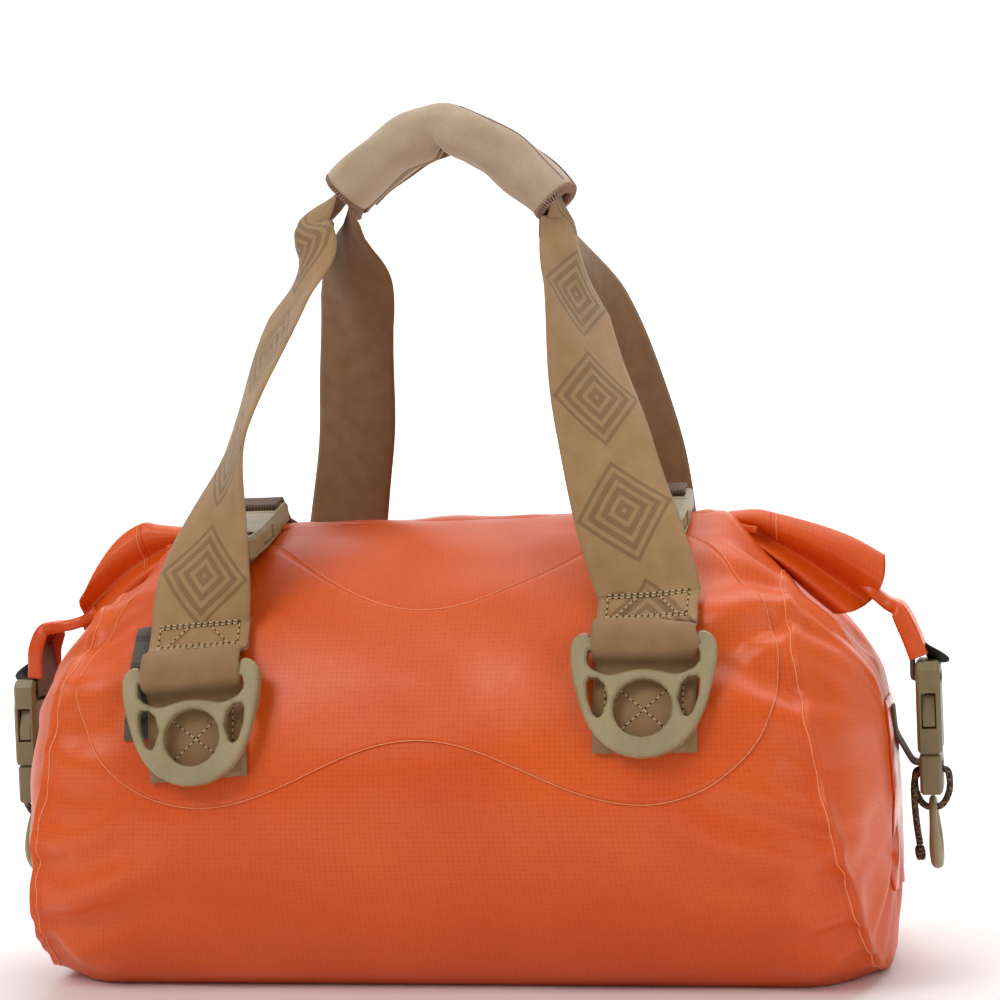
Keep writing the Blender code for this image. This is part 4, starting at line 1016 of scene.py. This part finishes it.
for ring, (origin, right, up, tip, side) in RING_SEATS.items():
    origin, right, up = (np.array(v, float) for v in (origin, right, up))
    origin = origin - BAR_OFFSET * np.array([0, side * math.sqrt(1 - tip * tip), tip])
    line = curve_through(np.array([(*p, 0) for p in KEEPER_LINE]), 61)
    across = np.linspace(-1, 1, 25) * (WEBBING_HALF - 0.0003)

    def on_seat(a, b, height, origin=origin, right=right, up=up, side=side):
        """A place a along the bar and b up the body from it, at a height over the cloth."""
        a, b, height = np.broadcast_arrays(a, b, height)
        place = origin + a[..., None] * right + b[..., None] * up
        return on_side(place[..., 0], place[..., 2], side, height)

    middle = on_seat(across[None, :], line[:, :1], line[:, 1:2])
    middle += 0.0003 * np.sin(across * 900)[None, :, None] * np.array([0, side, 0]) * ease(-line[:, :1], 0.045, 0.05)[..., None]
    keeper, _ = thick_sheet(f"keeper_webbing_{ring}", middle, 0.0024, plain_weave, "bag")
    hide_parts(f"ring_keeper_{ring}")
    out = np.array([0, side * 0.95, 0.3])
    t = np.linspace(0, 1, 12)
    flat = 0.0044
    box = [(-0.019, -0.015), (0.019, -0.015), (0.019, -0.046), (-0.019, -0.046), (-0.019, -0.015), (0.019, -0.046)]
    rows = [on_seat(a[0] + (b[0] - a[0]) * t, a[1] + (b[1] - a[1]) * t, flat) for a, b in zip(box, box[1:])]
    rows.append(on_seat(0.019 - 0.038 * t, -0.015 - 0.031 * t, flat))
    rows.append(on_seat(-0.023 + 0.046 * t, -0.0092, 0.0052))
    list(stitches(f"keeper_stitches_{ring}", rows, out, "bag"))

# Hand straps: two lengths of 50 mm webbing. Each is sewn over its two keepers with a double row of
# stitches, rises free, folds lengthwise as it narrows, and passes through the padded wrap at the top.
GRIP_TOP, GRIP_DROP, GRIP_LEFT, GRIP_RIGHT = 0.4385, 0.036, -0.0525, 0.0590
STRAP_BOW = {"front_right": -0.003, "front_left": -0.011, "back_right": 0.010, "back_left": 0.001}


def grip_place(x, lift=0.0):
    """A place along the grip's arch, lifted square to it; the arch falls by a power of the distance."""
    x = np.asarray(x, float)
    reach = np.where(x < 0, x / GRIP_LEFT, x / GRIP_RIGHT)
    fall = np.where(x < 0, 0.030, 0.041)
    z = GRIP_TOP - fall * np.maximum(reach, 0) ** 1.6
    slope = -fall * 1.6 * np.maximum(reach, 0) ** 0.6 / np.where(x < 0, GRIP_LEFT, GRIP_RIGHT)
    out = np.stack([-slope, np.zeros_like(x), np.ones_like(x)], -1)
    out /= np.linalg.norm(out, axis=-1, keepdims=True)
    return np.stack([x, np.zeros_like(x), z], -1) + out * np.asarray(lift)[..., None]


def strap_half(where, end, columns=21):
    """One half of a strap from its foot to the grip: centres rise from the body to the arch, bowed
    sideways; the direction across turns a quarter, and the section folds into a shallow trough."""
    ring = f"{where}_{'right' if end > 0 else 'left'}"
    origin, right, up, tip, side = RING_SEATS[ring]
    origin, right, up = (np.array(v, float) for v in (origin, right, up))
    origin = origin - BAR_OFFSET * np.array([0, side * math.sqrt(1 - tip * tip), tip])
    foot_rows = np.linspace(0.0095, 0.0235, 12)
    across = np.linspace(-1, 1, columns)
    seat = origin + foot_rows[:, None] * up
    foot_height = 0.0052 + 0.0035 * ease(-foot_rows, -0.014, -0.008) + 0.0006
    places = origin + foot_rows[:, None, None] * up + (across * WEBBING_HALF)[None, :, None] * right * (1 if side < 0 else -1)
    foot = on_side(places[..., 0], places[..., 2], side, foot_height[:, None] + 0 * places[..., 0])
    lift = 0.0032 if side < 0 else -0.0032
    top = grip_place(np.array((GRIP_RIGHT if end > 0 else GRIP_LEFT) * 0.97), np.array(lift))
    start = foot[-1].mean(axis=0)
    rise = np.linspace(0, 1, 64)[1:, None]
    centre = start * (1 - rise) + top * rise
    lean = (foot[-1].mean(0) - foot[-3].mean(0)) / np.linalg.norm(foot[-1].mean(0) - foot[-3].mean(0))
    reach = np.linalg.norm(top - start)
    straight = (top - start) / reach
    centre[:, 1] = start[1] * (1 - np.minimum(rise[:, 0] / 0.92, 1) ** 1.5)
    centre += (lean - straight) * (rise * (1 - rise) ** 14) * reach * 0.3
    centre[:, 0] += STRAP_BOW[ring] * np.sin(math.pi * rise[:, 0] ** 0.9)
    if ring == "front_left":
        centre[:, 0] -= 0.012 * np.exp(-(((rise[:, 0] - 0.90) / 0.055) ** 2))
    if side > 0:
        centre[:, 1] += 0.010 * np.sin(math.pi * rise[:, 0])
    r = rise[:, 0]
    turn = np.radians({
        "front_right": 92 * r * ease(r, -0.1, 0.25),
        "front_left": 62 * ease(r, 0.0, 0.42) - 10 * ease(r, 0.5, 0.75) + 36 * ease(r, 0.88, 1.0),
        "back_right": 80 * r,
        "back_left": 14 + 22 * r + 54 * ease(r, 0.80, 1.0),
    }[ring] * np.minimum(1, r / 0.12))
    flat = right * (1 if side < 0 else -1)
    aside = np.cos(turn)[:, None] * flat + np.sin(turn)[:, None] * np.array([0, end * 1.0, 0])
    along = np.gradient(np.vstack([foot[-1:].mean(axis=1), centre]), axis=0)[1:]
    along /= np.linalg.norm(along, axis=1, keepdims=True)
    aside -= along * np.sum(aside * along, axis=1, keepdims=True)
    aside /= np.linalg.norm(aside, axis=1, keepdims=True)
    out = np.cross(along, aside)
    narrow = WEBBING_HALF + (0.0150 - WEBBING_HALF) * ease(rise[:, 0], 0.72, 1.0)
    trough = np.sqrt(np.maximum(WEBBING_HALF**2 - narrow**2, 0)) * 0.55
    if ring == "front_left":
        trough = trough * 1.25
    sag = trough[:, None] * (abs(across)[None, :] ** 1.5 - 0.45) * (1 - 0.9 * ease(rise, 0.9, 1.0))
    ripple = 0.0009 * np.sin(17 * rise + 2.2 * across[None, :] + 3 * end + side) * ease(rise, 0.1, 0.4) * (1 - ease(rise, 0.8, 1))
    free = centre[:, None] + narrow[:, None, None] * across[None, :, None] * aside[:, None] + (sag + ripple)[..., None] * out[:, None]
    return np.vstack([foot, free]), foot


for side, where in ((-1, "front"), (1, "back")):
    lift = 0.0032 if side < 0 else -0.0032
    right_half, right_foot = strap_half(where, 1)
    left_half, left_foot = strap_half(where, -1)
    if np.sum((right_half[-1, -1] - right_half[-1, 0]) * [0, 1, 0]) < 0:
        right_half = right_half[:, ::-1]
    x = np.linspace(GRIP_RIGHT * 0.90, GRIP_LEFT * 0.90, 33)
    span = np.linspace(-1, 1, 21)
    inside = grip_place(x, np.full(33, lift))[:, None] + (0.0150 * span)[None, :, None] * np.array([0, 1.0, 0])
    if np.sum((left_half[-1, -1] - left_half[-1, 0]) * [0, 1, 0]) < 0:
        left_half = left_half[:, ::-1]
    middle = np.vstack([right_half, inside, left_half[::-1]])
    strap, _ = thick_sheet(f"hand_strap_{where}", middle, WEBBING_THICK, strap_weave, None)
    # The faces turned in between the straps take the darker copy: painted shade on the straps' inner sides.
    strap.data.materials.append(shaded_inner_weave)
    facing = np.empty(len(strap.data.polygons) * 3)
    strap.data.polygons.foreach_get("normal", facing)
    strap.data.polygons.foreach_set("material_index", (facing.reshape(-1, 3)[:, 1] * side < 0).astype(int))
    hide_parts(f"handle_strap_{where}")
    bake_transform(strap)
    for foot, end in ((right_foot, "right"), (left_foot, "left")):
        low, high = 2, 11
        out = np.array([0, side * 0.92, 0.38])
        raised = foot + out * 0.0015
        rows = [raised[low : high + 1, 2], raised[low : high + 1, 18], raised[low, 2:19], raised[low + 1, 2:19],
                raised[high, 2:19], raised[high - 1, 2:19]]
        slope = np.linspace(0, 1, 14)[:, None]
        rows += [raised[low + 1, 4] * (1 - slope) + raised[high - 1, 8] * slope + out * 0.0006,
                 raised[low + 1, 16] * (1 - slope) + raised[high - 1, 12] * slope + out * 0.0006]
        list(stitches(f"strap_stitches_{where}_{end}", rows, out, "bag"))

# The padded wrap: a flat pad of neoprene folded round both straps, its two long edges meeting underneath,
# bound at its ends and along its back edge with a thick overlocked yarn.
WRAP_HALF_WIDTH, WRAP_HALF_HEIGHT, WRAP_WALL = 0.0205, 0.0125, 0.0045


def neoprene():
    made, shader, tree = fitting("neoprene_wrap", srgb(186, 164, 136), 0.85, Sheen_Weight=0.35, Sheen_Roughness=0.4)
    cloth = noise(tree, place_of(tree), 2200, 2.0)
    patchy = remap(tree, noise(tree, place_of(tree), 55, 4.0), 0.35, 0.7)
    base = blended(tree, patchy, srgb(190, 168, 140), srgb(172, 148, 118))
    dusty = blended(tree, remap(tree, cloth, 0.3, 0.7, 0.0, 0.5), base, srgb(156, 132, 104))
    tree.links.new(dusty, shader.inputs["Base Color"])
    tree.links.new(remap(tree, cloth, 0.2, 0.8, 0.78, 0.95), shader.inputs["Roughness"])
    bumped(tree, shader, cloth, 0.5, 0.0003)
    return made


def wrap_surface(inset, along=97, around=64):
    """The wrap's outside or, inset, its inside: a flattened ring square to the arch, open underneath,
    that swells between its ends and is creased across near the top of the arch."""
    x = np.linspace(GRIP_LEFT * 1.0, GRIP_RIGHT * 1.0, along)[:, None]
    share = np.linspace(-1, 1, along)[:, None]
    turn = np.linspace(-math.pi / 2 + 0.10, 3 * math.pi / 2 - 0.10, around)[None, :]
    swell = 1 + 0.08 * (1 - share**4) + 0.10 * ease(-share, 0.45, 0.95) * (1 - ease(-share, 0.97, 1.0) * 0.5)
    crease = 0.0042 * np.exp(-(((x + 0.006 + 0.006 * np.sin(turn)) / 0.0055) ** 2)) * (0.45 - 0.55 * np.sin(turn))
    flute = 0.0007 * np.sin(7 * share + 2 * turn) + 0.0005 * np.sin(13 * share - 3 * turn)
    wide = (WRAP_HALF_WIDTH * swell - inset) * np.sign(np.cos(turn)) * abs(np.cos(turn)) ** 0.85
    high = (WRAP_HALF_HEIGHT * swell - inset - crease * (inset == 0) + flute) * np.sin(turn)
    slanted = x + 0.010 * np.sin(turn) * ease(-share, 0.5, 1) * 0.0 + 0.0 * turn
    points = grip_place(slanted, high)
    points[..., 1] = wide
    return points


outer, inner = wrap_surface(0.0), wrap_surface(WRAP_WALL)
wrap = sheet_between("padded_wrap", outer, inner)
rest = np.empty(len(wrap.data.vertices) * 3)
wrap.data.vertices.foreach_get("co", rest)
step = wrap.modifiers.new("fill", "CLOTH")
step.settings.quality = 5
step.settings.tension_stiffness = step.settings.compression_stiffness = 25
step.settings.bending_stiffness = 1.5
step.settings.use_pressure = True
step.settings.uniform_pressure_force = 2.0
step.settings.effector_weights.gravity = 0.0
step.collision_settings.use_collision = False
for moment in range(1, 13):
    bpy.context.scene.frame_set(moment)
filled = np.empty(len(rest))
wrap.evaluated_get(bpy.context.evaluated_depsgraph_get()).data.vertices.foreach_get("co", filled)
bpy.context.scene.frame_set(1)
wrap.modifiers.clear()
shift = (filled - rest).reshape(-1, 3)
far = np.linalg.norm(shift, axis=1, keepdims=True)
shift *= np.minimum(1, 0.0010 / np.maximum(far, 1e-9))
wrap.data.vertices.foreach_set("co", (rest.reshape(-1, 3) + shift).ravel())
wrap.data.update()
paint(wrap, neoprene())
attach(wrap, "hand_grip")
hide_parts("handle_wrap")

overlock_yarn, yarn_shader, yarn_tree = fitting("overlock_yarn", srgb(158, 118, 96), 0.7, Sheen_Weight=0.2)
yarn_tree.links.new(
    blended(yarn_tree, noise(yarn_tree, place_of(yarn_tree), 900), srgb(176, 134, 108), srgb(120, 84, 66)),
    yarn_shader.inputs["Base Color"],
)


def overlock(name, path, ring, reach=0.0017, pitch=0.0013):
    """Yarn wound over an edge: a coil round the path, a turn each pitch."""
    path = np.asarray(path, float)
    far = np.r_[0, np.cumsum(np.linalg.norm(np.diff(path, axis=0), axis=1))]
    turns = int(far[-1] / pitch)
    at = np.linspace(0, far[-1], turns * 9)
    line = np.stack([np.interp(at, far, path[:, k]) for k in range(3)], -1)
    ahead = np.gradient(line, axis=0)
    ahead /= np.linalg.norm(ahead, axis=1, keepdims=True)
    side = np.cross(ahead, ring)
    side /= np.linalg.norm(side, axis=1, keepdims=True)
    up = np.cross(side, ahead)
    phase = (at / far[-1] * turns * 2 * math.pi)[:, None]
    coil = reach * (np.cos(phase) * side + np.sin(phase) * up)
    yarn, _ = tube_along(name, line + coil, 0.00048, coil, sides=5)
    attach(paint(yarn, overlock_yarn), "hand_grip")


count = outer.shape[1]
overlock("wrap_binding_left", (outer[0] + inner[0]) / 2, np.array([1.0, 0.0, 0.6]), 0.0025)
overlock("wrap_binding_right", (outer[-1] + inner[-1]) / 2, np.array([1.0, 0.0, -0.6]), 0.0025)
rear = int(count * 0.42)
lower = int(count * 0.18)
line = np.concatenate([outer[int(len(outer) * 0.52) :, rear], outer[-1:, rear]])
overlock("wrap_binding_back", line + [0, 0.0004, 0], np.array([0, 1.0, 0.2]), 0.0017)
seam_line = outer[int(len(outer) * 0.54) : -2, int(count * 0.56)] + [0, -0.0001, 0.0001]
groove, _ = tube_along("wrap_inner_seam", seam_line, 0.0004, (0, 1, 0), sides=5)
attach(paint(groove, overlock_yarn), "hand_grip")
under, _ = thick_sheet("wrap_under_flap", wrap_surface(-0.0012)[3:46, 5:16], 0.0014, wrap.data.materials[0], "hand_grip")

# Top clips: side-release buckles of the same nylon. The end with the prongs hangs on a brown tape that
# comes over the crest from the back; the other end is sewn to the front by a short tape.
for end, side in (("left", -1), ("right", 1)):
    refined(f"{end}_top_buckle_female", tan_plastic, "bag", 0.0008)
    refined(f"{end}_top_buckle_male", tan_plastic, f"{end}_top_clip", 0.0008)
    for prong in "ab":
        refined(f"{end}_top_buckle_prong_{prong}", tan_plastic, f"{end}_top_prong_{prong}", 0.0005)


def across_x(tree):
    return place_of(tree)


def turned_place(tree):
    """Object coordinates with the bag's depth read across, for tapes on the bag's ends."""
    turn = tree.nodes.new("ShaderNodeMapping")
    turn.inputs["Rotation"].default_value = (0, 0, math.pi / 2)
    tree.links.new(place_of(tree), turn.inputs["Vector"])
    return turn.outputs[0]


top_tape_cloth = webbing("brown_tape_top", srgb(112, 82, 56), srgb(62, 42, 28), 0.0016, 0.0, 0.8, place=across_x)
end_tape_cloth = webbing("brown_tape_end", srgb(122, 90, 60), srgb(66, 44, 28), 0.0016, 0.0, 0.8, place=turned_place)
for end, side in (("left", -1), ("right", 1)):
    tape = refined(f"top_strap_{end}", top_tape_cloth, "bag", 0.0005, 2)
    tape.parent = None
    del tape["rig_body"]
    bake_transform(tape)
    refined(f"top_anchor_{end}", top_tape_cloth, "bag", 0.0004, 2)

# End clips: the same buckles hang from the ears by an orange tab that is doubled lengthwise, with a
# stiff black strip in its fold whose tip stands out, and a ribbed brown tape through the buckle's bar.
for end, side in (("left", -1), ("right", 1)):
    refined(f"{end}_end_buckle_female", olive_plastic, f"{end}_end_clip", 0.0012)
    refined(f"{end}_end_buckle_male", olive_plastic, "bag", 0.0010)
    for prong in "ab":
        refined(f"{end}_end_buckle_prong_{prong}", olive_plastic, f"{end}_end_prong_{prong}", 0.0005)
    refined(f"tab_tape_{end}", end_tape_cloth, f"{end}_end_clip", 0.0005, 2)
    refined(f"end_anchor_{end}", end_tape_cloth, "bag", 0.0004, 2)

TAB_LINES = {
    1: [(0.2085, 0.1990), (0.2150, 0.1935), (0.2228, 0.1868), (0.2302, 0.1832), (0.2362, 0.1722), (0.2410, 0.1585)],
    -1: [(0.2040, 0.1930), (0.2100, 0.1880), (0.2215, 0.1852), (0.2325, 0.1838), (0.2385, 0.1725), (0.2400, 0.1560)],
}
tab_cloth = coated("tab_coated_cloth", srgb(222, 92, 28), srgb(178, 60, 12), 0.36, srgb(208, 76, 20))
# A dark red sheet laid just inside the tab's fold: painted shade, the shade within the fold.
painted_fold_shade, _, _ = fitting("tab_fold_painted_shade", srgb(138, 24, 14), 0.45)
tip_cloth, tip_shader, tip_tree = fitting("black_tip_cloth", srgb(40, 36, 38), 0.6)
fine = noise(tip_tree, place_of(tip_tree), 1500)
tip_tree.links.new(blended(tip_tree, fine, srgb(28, 26, 28), srgb(58, 54, 54)), tip_shader.inputs["Base Color"])
for end, name in ((1, "right"), (-1, "left")):
    line = curve_through(TAB_LINES[end], 44)
    along = np.gradient(line, axis=0)
    along /= np.linalg.norm(along, axis=1, keepdims=True)
    out = np.stack([-along[:, 1], along[:, 0]], -1) * np.array([1, 1])
    share = np.linspace(0, 1, 44)[:, None]
    across = np.linspace(-1, 1, 23)[None, :]
    # The tab is a channel: a web outside and two flanges that turn in towards the bag.
    web = 0.0040 + 0.0035 * ease(share, 0.05, 0.3) + 0.0063 * ease(share, 0.35, 0.7)
    flange = 0.0050 + 0.0035 * ease(share, 0.3, 0.8)
    y = web * np.tanh(2.6 * across) / math.tanh(2.6) + 0.0010 * (1 - share)
    inwards = flange * np.maximum(abs(across) - 0.42, 0) ** 1.4 / 0.58**1.4
    middle = np.stack([
        end * (line[:, :1] - out[:, :1] * inwards), y + 0.0004 * np.sin(21 * share) + 0 * inwards,
        line[:, 1:] - out[:, 1:] * inwards], -1)
    tab, tab_out = thick_sheet(f"folded_tab_{name}", middle, 0.0015, tab_cloth, None)
    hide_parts(f"closure_tab_{name}")
    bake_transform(tab)
    # The dark red sheet inside the fold is painted shade.
    inside, _ = thick_sheet(f"tab_fold_shade_sheet_{name}", (middle - tab_out * np.sign(
        np.sum(tab_out[22, 11] * [end, 0, 0])) * 0.0014)[26:42, 3:20], 0.0008, painted_fold_shade, f"{name}_end_clip")
    t = np.linspace(0, 1, 10)[:, None]
    grid = (middle - tab_out * np.sign(np.sum(tab_out[22, 11] * [end, 0, 0])) * 0.0020)
    corners = [grid[28, 5], grid[28, 17], grid[40, 17], grid[40, 5]]
    rows = [a * (1 - t) + b * t for a, b in zip(corners, corners[1:] + corners[:1])]
    rows += [corners[0] * (1 - t) + corners[2] * t, corners[1] * (1 - t) + corners[3] * t]
    list(stitches(f"tab_stitches_{name}", rows, np.array([-end, 0, -0.2]), f"{name}_end_clip", 0.0024, 0.0017, 0.0003))
    # The black tip is a leaf: its width closes to a point as it turns away from the buckle.
    share = np.linspace(0, 1, 16)[:, None]
    across = np.linspace(-1, 1, 9)[None, :]
    x = 0.2408 + 0.0113 * share**1.2 + 0 * across
    z = 0.1600 - 0.0052 * share**0.8 - 0.0045 * across * np.sqrt(1 - share**2 * 0.96)
    y = 0.0070 * across * np.sqrt(1 - share**2 * 0.96)
    tip = np.stack([end * x, y, z], -1)
    leaf, _ = thick_sheet(f"black_tip_{name}", tip, 0.0010, tip_cloth, f"{name}_end_clip")
    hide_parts(f"tab_stiffener_{name}")

# End rings: forged-looking nylon rings that hang from a loop of braided cord round the clip's lower end.
braid_cloth, braid_shader, braid_tree = fitting("braided_cord", srgb(70, 50, 34), 0.75)
parts = braid_tree.nodes.new("ShaderNodeSeparateXYZ")
braid_tree.links.new(uv_of(braid_tree), parts.inputs[0])
turns = calc(braid_tree, "MULTIPLY", parts.outputs[0], 4.0)
run = calc(braid_tree, "DIVIDE", parts.outputs[1], 0.0030)
plait = calc(braid_tree, "MULTIPLY",
             calc(braid_tree, "PINGPONG", calc(braid_tree, "ADD", turns, run), 0.5),
             calc(braid_tree, "PINGPONG", calc(braid_tree, "SUBTRACT", run, turns), 0.5))
flecks = remap(braid_tree, noise(braid_tree, place_of(braid_tree), 900), 0.52, 0.62)
# Painted shade: the cord is darkest in the gaps between the strands, where the plait is low.
strands_and_gap_shade = blended(braid_tree, calc(braid_tree, "MULTIPLY", plait, 4.0), srgb(40, 27, 18), srgb(104, 78, 54))
braid_tree.links.new(blended(braid_tree, flecks, strands_and_gap_shade, srgb(150, 122, 84)), braid_shader.inputs["Base Color"])
bumped(braid_tree, braid_shader, plait, 0.9, 0.0006)
for end, name in ((-1, "left"), (1, "right")):
    turn = np.linspace(0, 2 * math.pi, 72, endpoint=False)
    tilt = math.radians(4) * end
    y, z = 0.0145 * np.sin(turn), 0.0160 * (np.cos(turn) - 1)
    path = np.stack([end * 0.2415 - math.tan(tilt) * z * 0.6, y, 0.0838 + z], -1)
    fat = 0.0020 + 0.0012 * ease(-np.cos(turn), -0.6, 0.6)
    ring, _ = tube_along(f"forged_ring_{name}", path, fat, (1, 0, 0), sides=16, ring=True)
    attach(paint(ring, tan_plastic), f"{name}_end_ring")
    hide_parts(f"end_ring_{name}")
    half = [(0.0060, 0.0992), (0.0084, 0.0968), (0.0084, 0.0885), (0.0050, 0.0815)]
    loop = [(0, 0.0992), *half, (0, 0.0797), *[(-a, b) for a, b in reversed(half)], (0, 0.0992)]
    line = curve_through(loop, 81)[:-1]
    path = np.stack([end * 0.2415 + line[:, 0], np.zeros(80), line[:, 1]], -1)
    cord_loop, uv = tube_along(f"braided_loop_{name}", path, 0.00172, (0, 1, 0), sides=12, ring=True)
    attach(paint(cord_loop, braid_cloth, uv), "bag")
    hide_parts(f"ring_loop_{name}")

# The lash cord: a limp braided cord knotted to the right loop; its tail hangs beside the end ring.
LASH_Y, LASH_RADIUS = -0.0070, 0.00175
LASH_ROUTE = [(0.2450, 0.1000), (0.2395, 0.1000), (0.2346, 0.0980), (0.2327, 0.0930), (0.2326, 0.0830), (0.2333, 0.0720),
              (0.2345, 0.0620)]
line = curve_through(LASH_ROUTE, 36)
path = np.stack([line[:, 0], np.full(36, LASH_Y), line[:, 1]], -1)
lash, uv = tube_along("lash_cord", path, LASH_RADIUS, (0, 1, 0), sides=12)
paint(lash, braid_cloth, uv)
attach(lash, "bag")
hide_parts("lash_cord_right")
turn = np.linspace(0, 2 * math.pi, 90, endpoint=False)
twist = np.stack([np.sin(turn) + 2 * np.sin(2 * turn), np.cos(turn) - 2 * np.cos(2 * turn), -1.6 * np.sin(3 * turn)], -1)
knot_path = path[-1] + [0, 0, -0.0042] + twist * [0.00048, 0.00046, 0.0016]
knot, uv = tube_along("lash_knot", knot_path, 0.0014, (0.01, 0.02, 1), sides=8, ring=True)
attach(paint(knot, braid_cloth, uv), "bag")
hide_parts("lash_knot_right")
tuple(path[0])
[tuple(p) for p in path]
